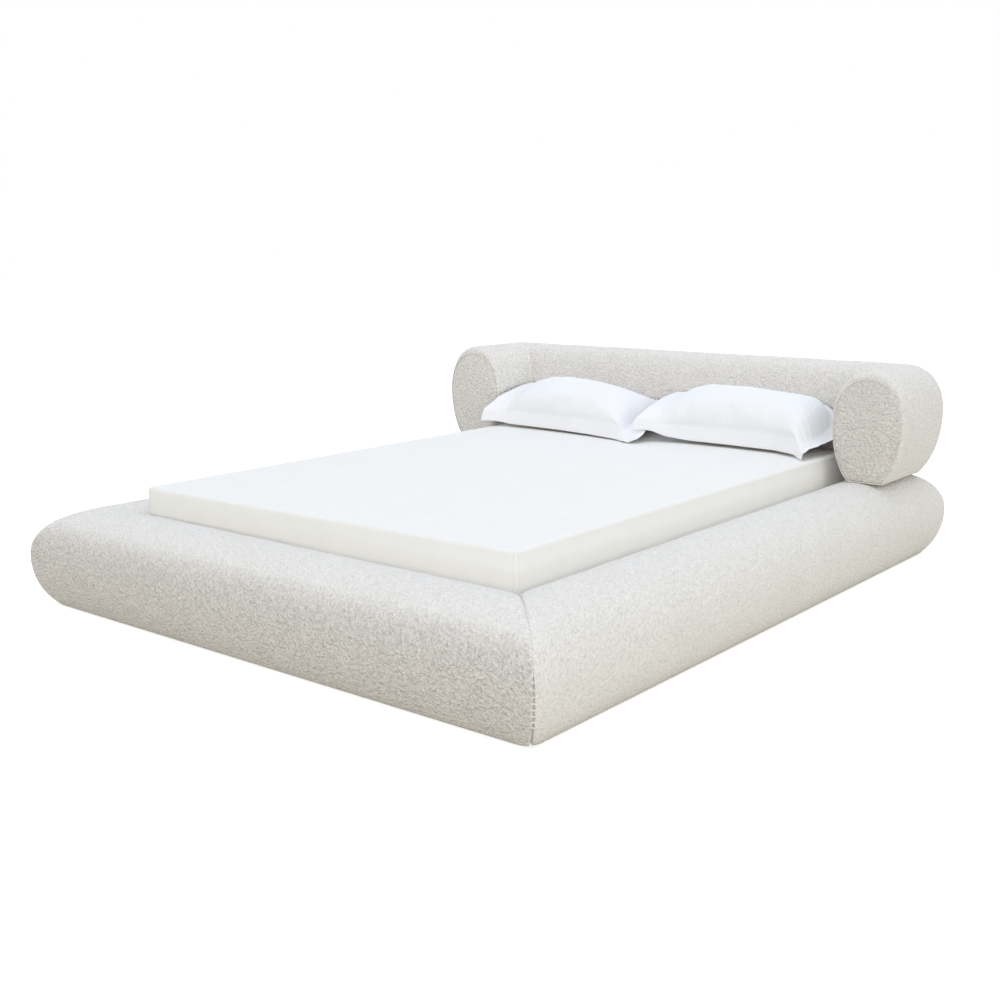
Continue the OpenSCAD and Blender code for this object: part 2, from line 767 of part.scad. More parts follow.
module front_levelling_pad() { color("dimgray") levelling_pad(leg_ys[0]); }
module rear_levelling_pad() { color("dimgray") levelling_pad(leg_ys[1]); }
module front_levelling_stem() { color("silver") levelling_stem(leg_ys[0]); }
module rear_levelling_stem() { color("silver") levelling_stem(leg_ys[1]); }

// Headboard. Its section is a tall egg, as [share of the half thickness, height], where a
// positive share is on the outside of the U.

function head_section() = concat(
    [for (i = [0:head_drop_steps - 1]) let (a = head_low_angle * (1 - i / head_drop_steps))
        [-cos(a), head_bulge_z - head_drop_h * sin(a)]],
    [for (i = [0:2 * head_rise_steps]) let (a = 90 * i / head_rise_steps, e = 2 / head_squareness)
        [-sign(cos(a)) * pow(abs(cos(a)), e), head_bulge_z + head_rise_h * pow(sin(a), e)]],
    [for (i = [1:head_drop_steps]) let (a = head_low_angle * i / head_drop_steps)
        [cos(a), head_bulge_z - head_drop_h * sin(a)]]);

// Places on the right half of the U, each for one share of the half thickness
function arm_place(share, y) = [arm_x + share * arm_half, y];
function back_place(share, x) = [x, back_y + share * back_half];
function corner_place(share, a) = let (r = share < 0
        ? mix(inner_corner_r, crest_corner_r, pow(1 + share, 2)) : mix(crest_corner_r, head_corner_r, share))
    [arm_x + share * arm_half - r * (1 - cos(a)), back_y + share * back_half - r * (1 - sin(a))];

head_round_shares = [0, 0.08, 0.3, 0.62, 1];
arm_mid_y = back_y - back_half - 2 * crest_corner_r;
corner_steps = 6;
back_steps = 3;

// One row of the headboard's skin, at a place along the right half of the U
function head_row_arm(share) = let (k = mix(1, arm_end_share, round_in(share)))
    [for (p = head_section()) let (q = arm_place(p[0] * k, cover_front_y + share * arm_round_l))
        [q[0], q[1], head_z0 + (p[1] - head_z0) * k]];
function head_row_mid() = [for (p = head_section()) let (q = arm_place(p[0], arm_mid_y)) [q[0], q[1], p[1]]];
function head_row_corner(a) = [for (p = head_section()) let (q = corner_place(p[0], a)) [q[0], q[1], p[1]]];
function head_row_back(x) = [for (p = head_section()) let (q = back_place(p[0], x)) [q[0], q[1], p[1]]];
function head_half() = concat(
    [for (s = head_round_shares) head_row_arm(s)],
    [head_row_mid()],
    [for (i = [0:corner_steps]) head_row_corner(90 * i / corner_steps)],
    [for (i = [back_steps - 1:-1:1]) head_row_back(arm_x * i / back_steps)]);
function flipped(row) = [for (p = row) [-p[0], p[1], p[2]]];

module headboard_form() {
    right = head_half();
    n = len(right);
    left = [for (i = [n - 1:-1:0]) flipped(right[i])];
    lofted(concat(right, [head_row_back(0)], left));
}

module arm_box(grow, down) {
    translate([arm_box_x0 - grow, arm_box_y0 - grow, head_box_z0 - down])
        cube([arm_box_w + 2 * grow, arm_box_y1 - arm_box_y0 + 2 * grow, head_box_h + down + grow]);
}

module back_box(grow, down) {
    translate([-arm_box_x0, back_y - back_box_w / 2 - grow, head_box_z0 - down])
        cube([2 * arm_box_x0, back_box_w + 2 * grow, head_box_h + down + grow]);
}

module headboard_cover() {
    color("ivory") difference() {
        headboard_form();
        arm_box(0, head_box_lift + cut);
        mirror([1, 0, 0]) arm_box(0, head_box_lift + cut);
        back_box(0, head_box_lift + cut);
    }
}

// Plywood box in a side return: four walls and a top, with a rib for the post
module arm_frame() {
    difference() {
        arm_box(0, 0);
        translate([arm_box_x0 + ply_t, arm_box_y0 + ply_t, head_box_z0 - cut])
            cube([arm_box_w - 2 * ply_t, arm_post_rib_y - arm_box_y0 - ply_t, head_box_h - ply_t + cut]);
        translate([arm_box_x0 + ply_t, arm_post_rib_y + board_t, head_box_z0 - cut])
            cube([arm_box_w - 2 * ply_t, arm_box_y1 - arm_post_rib_y - board_t - ply_t,
                head_box_h - ply_t + cut]);
        post_cuts();
    }
}

arm_post_rib_y = arm_post_y + post_t / 2;

module left_arm_frame() { color("burlywood") mirror([1, 0, 0]) arm_frame(); }
module right_arm_frame() { color("burlywood") arm_frame(); }

module headboard_back_frame() {
    color("burlywood") difference() {
        back_box(0, 0);
        for (side = [-1, 1]) {
            back_bay(side, post_t / 2 - back_post_x, back_post_x - post_t / 2, 0);
        }
        back_bay(1, back_post_x + post_t / 2 + board_t, arm_box_x0 - ply_t, 0);
        back_bay(-1, back_post_x + post_t / 2 + board_t, arm_box_x0 - ply_t, 0);
        post_cuts();
    }
}

// Hollow bay of the back's box between two distances from the middle
module back_bay(side, x0, x1, grow) {
    mirror([side < 0 ? 1 : 0, 0, 0])
        translate([x0 - grow, back_y - back_box_w / 2 + ply_t, head_box_z0 - cut])
        cube([x1 - x0 + 2 * grow, back_box_w - 2 * ply_t, head_box_h - ply_t + cut]);
}

// Crowned end panels at the fronts of the side returns, inside a ring of piping

panel_share = 1 - piping_w / arm_half;
piping_share = 0.4;
// Crown of a panel from its front face back, as [share of its outline, share of its thickness]
panel_crown = [[0.45, 0], [0.85, 0.25], [1, 1 - piping_share], [1, 1]];
panel_mid = [arm_x, head_z0 + (head_h - fit) * arm_end_share / 2];

// Outline of a side return's front end, drawn in by a share about its middle
function end_outline(k) = [for (p = head_section()) mix(panel_mid,
    [arm_x + p[0] * arm_end_share * arm_half, head_z0 + (p[1] - head_z0) * arm_end_share], k)];
function panel_row(k, y) = [for (p = end_outline(k)) [p[0], y, p[1]]];

module end_panel() {
    lofted([for (p = panel_crown) panel_row(panel_share * p[0], arm_front_y + panel_t * p[1])]);
}

module right_end_panel() { color("ivory") end_panel(); }
module left_end_panel() { color("ivory") mirror([1, 0, 0]) end_panel(); }

module piping_ring() {
    translate([0, arm_front_y + panel_t, 0]) rotate([90, 0, 0]) linear_extrude(panel_t * piping_share)
        difference() {
            polygon(end_outline(1));
            polygon(end_outline(panel_share + 2 * fit / arm_half));
        }
}

module right_piping() { color("linen") piping_ring(); }
module left_piping() { color("linen") mirror([1, 0, 0]) piping_ring(); }

// Steel posts that stand in the rails and reach up into the headboard

module arm_post_box(play) {
    translate([arm_x - post_w / 2 - play, arm_post_y - post_t / 2 - play, post_z0 - play])
        cube([post_w + 2 * play, post_t + 2 * play, post_z1 - post_z0 + 2 * play]);
}

module back_post_box(play) {
    translate([back_post_x - post_t / 2 - play, back_y - post_w / 2 - play, post_z0 - play])
        cube([post_t + 2 * play, post_w + 2 * play, post_z1 - post_z0 + 2 * play]);
}

module both_sides() {
    children();
    mirror([1, 0, 0]) children();
}

// Bolt axes of the posts: they start at the post's free face and go on into the rib
module at_post_bolts(back) {
    for (z = concat(post_low_zs, post_high_zs)) {
        translate([arm_x, arm_post_y - post_t / 2 + back, z]) rotate([-90, 0, 0]) children();
        translate([back_post_x - post_t / 2 + back, back_y, z]) rotate([0, 90, 0]) children();
    }
}

post_grip = post_t + board_t;

module headboard_posts() {
    color("dimgray") both_sides() difference() {
        union() {
            arm_post_box(0);
            back_post_box(0);
        }
        at_post_bolts(0) translate([0, 0, -cut])
            cylinder(h = post_t + 2 * cut, r = bolt_hole_r, $fn = bolt_faces);
    }
}

// Slots for the posts and holes for their bolts
module post_slots() {
    both_sides() {
        arm_post_box(fit);
        back_post_box(fit);
    }
}

module post_cuts() {
    both_sides() {
        translate([0, -fit, 0]) arm_post_slab();
        translate([-fit, 0, 0]) back_post_slab();
        at_post_bolts(0) cylinder(h = post_grip + cut, r = bolt_hole_r, $fn = bolt_faces);
    }
}

// Slots that keep the rib's face in place and give play on the other three sides
module arm_post_slab() {
    translate([arm_x - post_w / 2 - fit, arm_post_y - post_t / 2, post_z0 - fit])
        cube([post_w + 2 * fit, post_t + fit, post_z1 - post_z0 + 2 * fit]);
}

module back_post_slab() {
    translate([back_post_x - post_t / 2, back_y - post_w / 2 - fit, post_z0 - fit])
        cube([post_t + fit, post_w + 2 * fit, post_z1 - post_z0 + 2 * fit]);
}

module headboard_bolts() {
    color("silver") both_sides() at_post_bolts(0) bolt(post_grip + bolt_head_h);
}

module headboard_nuts() {
    color("silver") both_sides() at_post_bolts(post_grip) nut();
}

// Mattress and fitted sheet

edge_steps = 3;

// Slab with round corners in plan and round upper and lower edges
module soft_slab(w, l, h, corner_r, edge_r) {
    hull() {
        for (x = [corner_r - w / 2, w / 2 - corner_r]) {
            for (y = [corner_r - l / 2, l / 2 - corner_r]) {
                translate([x, y, 0]) rotate_extrude($fn = screw_faces) polygon(concat(
                    [[0, 0]],
                    [for (i = [0:edge_steps]) let (a = 90 * i / edge_steps)
                        [corner_r - edge_r * (1 - sin(a)), edge_r * (1 - cos(a))]],
                    [for (i = [0:edge_steps]) let (a = 90 * i / edge_steps)
                        [corner_r - edge_r * (1 - cos(a)), h - edge_r * (1 - sin(a))]],
                    [[0, h]]));
            }
        }
    }
}

module mattress() {
    color("gainsboro") translate([0, well_y, mattress_z0])
        soft_slab(mattress_w, mattress_l, mattress_h, mattress_corner_r, mattress_edge_r);
}

module fitted_sheet() {
    w = mattress_w + 2 * sheet_t;
    l = mattress_l + 2 * sheet_t;
    color("white") translate([0, well_y, sheet_z0]) difference() {
        soft_slab(w, l, mattress_h + 2 * sheet_t, mattress_corner_r + sheet_t, mattress_edge_r + sheet_t);
        translate([0, 0, sheet_t])
            soft_slab(mattress_w, mattress_l, mattress_h, mattress_corner_r, mattress_edge_r);
        translate([sheet_hem_w - w / 2, sheet_hem_w - l / 2, -cut])
            cube([w - 2 * sheet_hem_w, l - 2 * sheet_hem_w, sheet_t + 2 * cut]);
    }
}

// Pillows. A place on one is [u, v], each from -1 to 1 over the case with its flange: u runs
// across the bed and v from the front edge to the back.

pillow_arc = sqrt(pow(pillow_run, 2) + pow(pillow_rise, 2));
fill_u = 1 - 2 * flange_w / case_w;
fill_v = 1 - 2 * flange_w / pillow_arc;

function pillow_middle(i, u, v) = let (s = (v + 1) / 2, draw_u = 1 - pillow_draw * (1 - v * v),
    draw_v = 1 - pillow_draw * (1 - u * u))
    [pillow_xs[i] + u * draw_u * case_w / 2,
     mix(pillow_front_y, pillow_back_y, 0.5 + v * draw_v / 2),
     pillow_front_z + pillow_rises[i] * pow(s, pillow_lean) * (1 - pillow_droop * pow(abs(u), 3))];

// Direction square to a pillow's middle surface
function pillow_normal(i, v) = let (s = max((v + 1) / 2, 1 / pillow_steps_v),
    slope = atan(pillow_rises[i] * pillow_lean * pow(s, pillow_lean - 1) / pillow_run))
    [0, -sin(slope), cos(slope)];

// Half thickness of the filling, with the rounder edge that a full pillow has
function fill_half(u, v) = let (a = max(0, 1 - pow(abs(u) / fill_u, fill_round_u)),
    b = max(0, 1 - pow(abs(v) / fill_v, fill_round_v)))
    insert_edge_t / 2 + (pillow_t / 2 - case_t - insert_edge_t / 2) * pow(a * b, fill_round_edge);

function pillow_point(i, u, v, half) = pillow_middle(i, u, v) + pillow_normal(i, v) * half;

// Presses a point flat on the bed below it and on the headboard behind it
function held(p, back, low) = [p[0], min(p[1], back), max(p[2], low)];
function on_bed(p) = held(p, pillow_back_y, sheet_top_z + fit);

function fill_shares(steps, fill) = [for (i = [0:steps]) let (a = 2 * i / steps - 1)
    fill * sign(a) * (1 - pow(1 - abs(a), grid_crowd))];

// The filling alone, or grown all round to cut the room for it
module filling(i, grow) {
    us = fill_shares(pillow_steps_u, fill_u + grow / case_w);
    vs = fill_shares(pillow_steps_v, fill_v + grow / pillow_arc);
    low = sheet_top_z + case_t + 2 * fit - grow;
    back = pillow_back_y - case_t - fit + grow;
    quilted(
        [for (u = us) [for (v = vs) held(pillow_point(i, u, v, fill_half(u, v) + grow), back, low)]],
        [for (u = us) [for (v = vs) held(pillow_point(i, u, v, -fill_half(u, v) - grow), back, low)]]);
}

function case_half(u, v) = abs(u) == 1 || abs(v) == 1
    ? flange_t / 2 : fill_half(u, v) + case_t;

module pillowcase(i) {
    us = concat([-1], fill_shares(pillow_steps_u, fill_u), [1]);
    vs = concat([-1], fill_shares(pillow_steps_v, fill_v), [1]);
    difference() {
        quilted(
            [for (u = us) [for (v = vs) on_bed(pillow_point(i, u, v, case_half(u, v)))]],
            [for (u = us) [for (v = vs) on_bed(pillow_point(i, u, v, -case_half(u, v)))]]);
        filling(i, fit);
    }
}

module left_pillow() { color("snow") filling(0, 0); }
module right_pillow() { color("snow") filling(1, 0); }
module left_pillowcase() { color("white") pillowcase(0); }
module right_pillowcase() { color("white") pillowcase(1); }

foot_rail_timber();
left_rail_timber();
right_rail_timber();
head_rail_timber();
foot_rail_cover();
left_rail_cover();
right_rail_cover();
head_rail_cover();
corner_plates();
corner_bolts();
corner_nuts();
rail_glides();
left_slat_ledge();
right_slat_ledge();
ledge_screws();
centre_beam();
beam_hangers();
hanger_screws();
front_centre_leg();
rear_centre_leg();
front_levelling_pad();
front_levelling_stem();
rear_levelling_pad();
rear_levelling_stem();
for (i = [1:slat_count]) slat(i);
left_slat_tape();
right_slat_tape();
headboard_back_frame();
left_arm_frame();
right_arm_frame();
headboard_cover();
left_end_panel();
right_end_panel();
left_piping();
right_piping();
headboard_posts();
headboard_bolts();
headboard_nuts();
mattress();
fitted_sheet();
left_pillow();
left_pillowcase();
right_pillow();
right_pillowcase();
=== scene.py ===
"""The looks of an upholstered bed, built around its packed model: boucle bolsters, a made mattress
and two flanged pillows, with the timber, steel and slats that carry them."""

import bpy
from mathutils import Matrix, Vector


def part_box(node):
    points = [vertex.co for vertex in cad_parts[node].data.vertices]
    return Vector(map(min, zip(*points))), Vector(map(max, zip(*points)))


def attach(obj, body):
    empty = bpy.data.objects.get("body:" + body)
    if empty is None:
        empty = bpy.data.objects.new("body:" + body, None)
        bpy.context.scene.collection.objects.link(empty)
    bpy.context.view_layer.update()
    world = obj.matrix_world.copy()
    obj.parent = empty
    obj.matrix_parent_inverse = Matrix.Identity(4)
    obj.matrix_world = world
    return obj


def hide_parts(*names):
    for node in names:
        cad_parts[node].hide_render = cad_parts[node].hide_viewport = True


bl_info = {
    "name": "Bolster bed",
    "version": (1, 0, 0),
    "blender": (4, 5, 0),
    "location": "3D View > Sidebar > Bolster bed",
    "description": "Builds an upholstered bed with round boucle rails, a bolster headboard and bedding",
    "category": "Object",
}

import math

import bmesh
import bpy
import numpy as np
from bpy.props import FloatProperty, FloatVectorProperty, PointerProperty
from mathutils import Matrix, Vector, noise

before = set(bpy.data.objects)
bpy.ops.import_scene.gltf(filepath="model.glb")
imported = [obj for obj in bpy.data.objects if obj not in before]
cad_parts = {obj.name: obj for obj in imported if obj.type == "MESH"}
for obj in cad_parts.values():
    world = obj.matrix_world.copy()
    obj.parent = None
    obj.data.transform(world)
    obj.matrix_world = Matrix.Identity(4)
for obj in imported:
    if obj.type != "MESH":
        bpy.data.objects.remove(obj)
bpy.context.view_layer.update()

FRAME_BODY = "bed_frame"
MATTRESS_BODY = "made_mattress"
SIDES = ("left", "right")
# Attribute with each piece's share of painted shade on its faces turned to the foot
SHADE_MARK = "nap"

# Sizes that the frame gives

MATTRESS_LOW, MATTRESS_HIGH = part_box("mattress")
SHEET_LOW, SHEET_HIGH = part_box("fitted_sheet")
FOOT_LOW, FOOT_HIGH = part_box("foot_rail_cover")
BOLSTER_LOW, BOLSTER_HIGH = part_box("headboard_cover")
PANEL_LOW, PANEL_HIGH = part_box("right_end_panel")

# Fits and thicknesses that the solids have too

FIT = 0.0003
SHEET_T = 0.002
WELL_GAP = 0.0035
BOARD_T = 0.018
INNER_FOAM_T, SIDE_FOAM_T, TOP_FOAM_T = 0.012, 0.073, 0.072


def linear(code):
    """The linear colour of an sRGB hex value."""
    channels = [int(code[i : i + 2], 16) / 255 for i in (1, 3, 5)]
    return tuple(c / 12.92 if c <= 0.04045 else ((c + 0.055) / 1.055) ** 2.4 for c in channels)


def size(name, default, text, low=0.0, high=5.0):
    return FloatProperty(name=name, description=text, default=default,
                         min=low, max=high, unit="LENGTH", precision=4)


def share(name, default, text):
    return FloatProperty(name=name, description=text, default=default, min=0.0, max=1.0, subtype="FACTOR")


def squareness(default):
    return FloatProperty(name="Squareness", description="Shape of the upper curve, where 2 is an ellipse",
                         default=default, min=2, max=4)


def colour(name, code, text):
    return FloatVectorProperty(name=name, description=text, default=linear(code),
                               size=3, min=0, max=1, subtype="COLOR")


class RailSizes(bpy.types.PropertyGroup):
    """Sizes of the four bolster rails"""

    side_w: size("Side rail width", 0.302, "From the mattress well to the outside of a side rail")
    foot_w: size("Foot rail width", 0.315, "From the mattress well to the outside of the foot rail")
    head_w: size("Head rail width", 0.268, "From the mattress well to the outside of the head rail")
    bulge_h: size("Bulge height", 0.162, "Height of the widest line above the underside")
    back_w: size("Back width", 0.175, "From the crest out to the widest line")
    tuck_w: size("Tuck", 0.056, "How far the outside curves back in above the floor")
    roll_h: size("Roll height", 0.075, "Height of the round edge beside the mattress")
    low_w: size("Lower curve", 0.125, "Half width of the curve that the lower outside follows")
    squareness: squareness(2.15)
    pinch: share("Seam pinch", 0.96, "Share of the height that is left at a corner seam")
    seam_reach: size("Seam reach", 0.05, "Length over which a cover draws in to a corner seam")
    seam_gap: size("Seam gap", 0.0034, "How far a cover stands back from a corner seam near the floor")
    seam_round: size("Seam rounding", 0.0065, "Radius of a cover's edge at a corner seam")
    seam_tight: size("Tight seam rounding", 0.0045, "Radius of that edge outside, where it is sewn tight")
    flap_z: size("Flap height", 0.162, "Where the cover ends on the mattress side")
    board_setback: size("Board setback", 0.095, "Distance that the outer boards stay back from a corner")
    grid: size("Grid", 0.011, "Size of the mesh's faces", 0.004, 0.05)


class HeadboardSizes(bpy.types.PropertyGroup):
    """Sizes of the bolster headboard"""

    bulge_h: size("Bulge height", 0.228, "Height of the widest line above the underside")
    drop_h: size("Lower half height", 0.262, "Height of the lower curve, if it went on to a point")
    squareness: squareness(2.2)
    arm_t: size("Return thickness", 0.28, "Thickness of the side returns")
    back_t: size("Back thickness", 0.212, "Thickness of the back")
    inner_r: size("Inner corner radius", 0.01, "Radius of the inner corners in plan")
    crest_r: size("Crest corner radius", 0.024, "Radius of the crest line's corners in plan")
    outer_r: size("Outer corner radius", 0.092, "Radius of the outer corners in plan")
    round_l: size("End rounding", 0.034, "Length over which a return rounds over to its end panel")
    end_share: share("End share", 0.93, "Share of the section that is left at an end panel's seam")
    piping_r: size("Piping radius", 0.0021, "Radius of the piping in an end panel's seam")
    arm_box_w: size("Return box width", 0.108, "Thickness of the plywood box in a return")
    back_box_w: size("Back box width", 0.08, "Thickness of the plywood box in the back")
    box_top: size("Box top", 0.31, "Height of the boxes' tops above the headboard's underside")
    grid: size("Grid", 0.011, "Size of the mesh's faces", 0.004, 0.05)


class BeddingSizes(bpy.types.PropertyGroup):
    """Sizes of the bedding"""

    cloth_t: size("Cloth thickness", 0.0012, "Thickness of the sheet's cloth, heavier than the real one")
    hem_w: size("Hem width", 0.11, "Width of the hem that turns under the mattress")
    corner_drift: size("Corner drift", 0.04, "How far the left foot corner bulges over the foot rail")
    corner_out: size("Corner spread", 0.022, "How far that corner bulges over the left rail")
    corner_sag: size("Corner sag", 0.004, "How far that corner sags")
    side_swell: size("Side swell", 0.01, "How far the mattress's sides swell over the rails' round edges")
    pucker: size("Pucker depth", 0.001, "Depth of the soft vertical folds down the sides")
    flange_w: size("Flange width", 0.042, "Width of the flange round a pillowcase")
    flange_t: size("Flange thickness", 0.0018, "Thickness of the flange's two layers of cloth")
    pillow_t: size("Pillow thickness", 0.204, "Thickness of a pillow in its middle")
    pillow_ease: size("Pillow ease", 0.003, "How far a flange's edge reaches past the pillow's solid")
    grid: size("Grid", 0.013, "Size of the sheet's faces", 0.006, 0.05)


class FinishColours(bpy.types.PropertyGroup):
    """Colours of the cloths, timber and metal"""

    boucle: colour("Boucle loops", "#F2F0EC", "Ivory yarn where its loops catch the light")
    # The ground is painted shade: the same ivory yarn, drawn darker where shade falls between the loops
    boucle_shade: colour("Boucle ground", "#ECE8E1", "Ivory yarn down between the loops")
    cotton: colour("Sheet cotton", "#EFEEEA", "Bleached cotton of the sheet")
    # The pillowcases' cotton is the sheet's cotton drawn whiter and cooler: painted cool light, against the warm
    # lamps on the pillows
    case: colour("Pillowcase cotton", "#F1F1F3", "Optically whitened cotton of the pillowcases")
    ticking: colour("Ticking", "#E4E0D6", "Knitted ticking of the mattress and the pillows' inserts")
    pine: colour("Pine", "#EBD3AA", "Planed pine between its growth rings")
    pine_ring: colour("Pine rings", "#CFA369", "Growth rings of the pine")
    steel: colour("Coated steel", "#2A2B2D", "Powder-coated steel plates, hangers and posts")
    zinc: colour("Zinc", "#B9BCC0", "Zinc-plated bolts and screws")
    nylon: colour("Nylon", "#232323", "Moulded nylon glides and pads")


# Small helpers for shader and geometry trees


def rgba(values):
    return (*values[:3], 1.0)


def shaded(values, share_left):
    return tuple(v * share_left for v in values)


def add(tree, kind, inputs=None, stops=(), **settings):
    """Adds a node with its settings. An input is a value, or a socket to link from. The stops are those of a
    colour ramp, each with its place and colour."""
    made = tree.nodes.new(kind)
    for key, value in settings.items():
        setattr(made, key, value)
    for key, value in (inputs or {}).items():
        if isinstance(value, bpy.types.NodeSocket):
            tree.links.new(value, made.inputs[key])
        else:
            made.inputs[key].default_value = value
    for i, (place, value) in enumerate(stops):
        elements = made.color_ramp.elements
        stop = elements[i] if i < len(elements) else elements.new(place)
        stop.position = place
        stop.color = rgba(value)
    return made


def end_material(tree, base, normal, sockets):
    """Ends a material in one Principled shader, with its constants on the shader's own sockets."""
    shader = add(tree, "ShaderNodeBsdfPrincipled", {"Base Color": base, **sockets})
    if normal is not None:
        tree.links.new(normal, shader.inputs["Normal"])
    add(tree, "ShaderNodeOutputMaterial", {"Surface": shader.outputs["BSDF"]})


# Finishes


def boucle(tree):
    """Boucle: a looped, curly yarn of wool and polyester, woven and then steamed. It gives the eye a dense
    field of soft knots some 5 to 8 mm across, with small shadows between them and no gloss at all."""
    c = bpy.context.scene.bed_finish
    spot = add(tree, "ShaderNodeTexCoord").outputs
    place = spot["Object"]
    # The yarn wanders about every 10 mm, so the knots are pushed about before they are drawn
    wander = add(tree, "ShaderNodeTexNoise", {"Vector": place, "Scale": 95.0, "Detail": 2.0}).outputs["Color"]
    pushed = add(tree, "ShaderNodeMix", {0: 0.006, 4: place, 5: wander}, data_type="VECTOR").outputs[1]
    # Knots of 8.8 mm, a little coarser than real ones so that they show, with curls of 4.1 mm between them
    knots, curls = (
        add(tree, "ShaderNodeTexVoronoi", {"Vector": pushed, "Scale": 1 / across, "Smoothness": smooth},
            feature="SMOOTH_F1").outputs["Distance"]
        for across, smooth in ((0.0088, 0.6), (0.0041, 0.5)))
    fibres = add(tree, "ShaderNodeTexNoise", {"Vector": place, "Scale": 600.0, "Detail": 3.0}).outputs["Fac"]
    low = add(tree, "ShaderNodeMath", {0: knots, 1: 0.75}, operation="MULTIPLY").outputs[0]
    low = add(tree, "ShaderNodeMath", {0: curls, 1: 0.22, 2: low}, operation="MULTIPLY_ADD").outputs[0]
    low = add(tree, "ShaderNodeMath", {0: fibres, 1: -0.12, 2: low}, operation="MULTIPLY_ADD").outputs[0]
    height = add(tree, "ShaderNodeMath", {0: 0.8, 1: low}, operation="SUBTRACT").outputs[0]
    # Painted shade: the yarn is drawn a little darker down between the knots, where shade falls
    yarn = add(tree, "ShaderNodeValToRGB", {"Fac": height}, [(0.25, c.boucle_shade), (0.55, c.boucle)])
    # Painted shade: on a piece marked for it, a face that is turned to the foot is painted darker, most
    # of all down between the knots, and its relief is drawn deeper
    facing = add(tree, "ShaderNodeSeparateXYZ", {"Vector": spot["Normal"]}).outputs["Y"]
    turned = add(tree, "ShaderNodeMapRange",
                 {"Value": facing, "From Min": -0.6, "From Max": -0.95}).outputs["Result"]
    shade_amount = add(tree, "ShaderNodeAttribute", attribute_name=SHADE_MARK).outputs["Fac"]
    into = add(tree, "ShaderNodeMath", {0: turned, 1: shade_amount}, operation="MULTIPLY").outputs[0]
    # The painted shade itself, darkest down between the knots
    foot_facing_shade = add(tree, "ShaderNodeValToRGB", {"Fac": height},
               [(0.18, (0.94, 0.925, 0.91)), (0.5, (1.0, 0.985, 0.972))])
    depth = add(tree, "ShaderNodeMath", {0: into, 1: 0.010, 2: 0.0085}, operation="MULTIPLY_ADD").outputs[0]
    # Thicker and thinner patches of pile, 10 to 20 cm wide
    drift = add(tree, "ShaderNodeTexNoise", {"Vector": place, "Scale": 7.0, "Detail": 2.0}).outputs["Fac"]
    patch = add(tree, "ShaderNodeValToRGB", {"Fac": drift}, [(0.3, (0.985, 0.983, 0.978)), (0.7, (1, 1, 1))])
    base = yarn.outputs["Color"]
    for amount, layer in ((into, foot_facing_shade), (1.0, patch)):
        base = add(tree, "ShaderNodeMix", {0: amount, 6: base, 7: layer.outputs["Color"]},
                   data_type="RGBA", blend_type="MULTIPLY").outputs[2]
    normal = add(tree, "ShaderNodeBump", {"Height": height, "Strength": 1.0, "Distance": depth})
    end_material(tree, base, normal.outputs["Normal"], {
        "Roughness": 0.95, "IOR": 1.45, "Specular IOR Level": 0.15,
        "Sheen Weight": 0.1, "Sheen Roughness": 0.6})


def percale(tree, white):
    """Cotton percale: a plain, tight weave of fine thread, bleached, washed and lightly pressed. It gives the
    eye a clean matt white with faint creases. The weave itself, at 0.3 mm, is too fine to show."""
    place = add(tree, "ShaderNodeTexCoord").outputs["Object"]
    # The threads are drawn 5 mm apart, as coarse as they need to be to show at all
    across, along = (
        add(tree, "ShaderNodeTexWave", {"Vector": place, "Scale": 60.0, "Distortion": 0.6, "Detail": 1.0},
            bands_direction=way).outputs["Fac"]
        for way in "XY")
    weave = add(tree, "ShaderNodeMath", {0: across, 1: along}, operation="MULTIPLY").outputs[0]
    # Creases about 6 cm apart
    creases = add(tree, "ShaderNodeTexNoise",
                  {"Vector": place, "Scale": 16.0, "Detail": 4.0, "Roughness": 0.55}).outputs["Fac"]
    height = add(tree, "ShaderNodeMath", {0: weave, 1: 0.05, 2: creases}, operation="MULTIPLY_ADD").outputs[0]
    tone = getattr(bpy.context.scene.bed_finish, white)
    # Painted shade: the cloth is drawn a shade darker down in the creases
    base = add(tree, "ShaderNodeValToRGB", {"Fac": creases}, [(0.35, shaded(tone, 0.985)), (0.6, tone)])
    normal = add(tree, "ShaderNodeBump", {"Height": height, "Strength": 0.2, "Distance": 0.004})
    end_material(tree, base.outputs["Color"], normal.outputs["Normal"], {
        "Roughness": 0.85, "IOR": 1.5, "Specular IOR Level": 0.2,
        "Sheen Weight": 0.08, "Sheen Roughness": 0.5})


def ribbed_cloth(tree, low_tone, high_tone, between, ribs, strength, depth, sockets):
    """A cloth or thread with slanting ribs: its tone and its height both go from low to high across a rib."""
    place = add(tree, "ShaderNodeTexCoord").outputs["Object"]
    rib = add(tree, "ShaderNodeTexWave", {"Vector": place, **ribs}, bands_direction="DIAGONAL").outputs["Fac"]
    base = add(tree, "ShaderNodeValToRGB", {"Fac": rib}, [(between[0], low_tone), (between[1], high_tone)])
    normal = add(tree, "ShaderNodeBump", {"Height": rib, "Strength": strength, "Distance": depth})
    end_material(tree, base.outputs["Color"], normal.outputs["Normal"], sockets)


def ticking(tree):
    """Knitted ticking: a stretch polyester knit over the mattress and the inserts, with ribs 4 mm apart. They
    are drawn 11 mm apart, so that they show."""
    tone = bpy.context.scene.bed_finish.ticking
    ribbed_cloth(tree, shaded(tone, 0.86), tone, (0.2, 0.7), {"Scale": 40.0, "Distortion": 1.2, "Detail": 2.0},
                 0.4, 0.001, {"Roughness": 0.9, "Sheen Weight": 0.1})


def webbing(tree):
    """Woven cotton webbing for the slat tapes: a twill of thick undyed thread, 2 mm apart. It is drawn 5.5 mm
    apart, so that it shows."""
    ribbed_cloth(tree, linear("#C9C3B2"), linear("#E6E2D6"), (0.2, 0.8), {"Scale": 80.0, "Distortion": 0.4},
                 0.5, 0.0006, {"Roughness": 0.9})


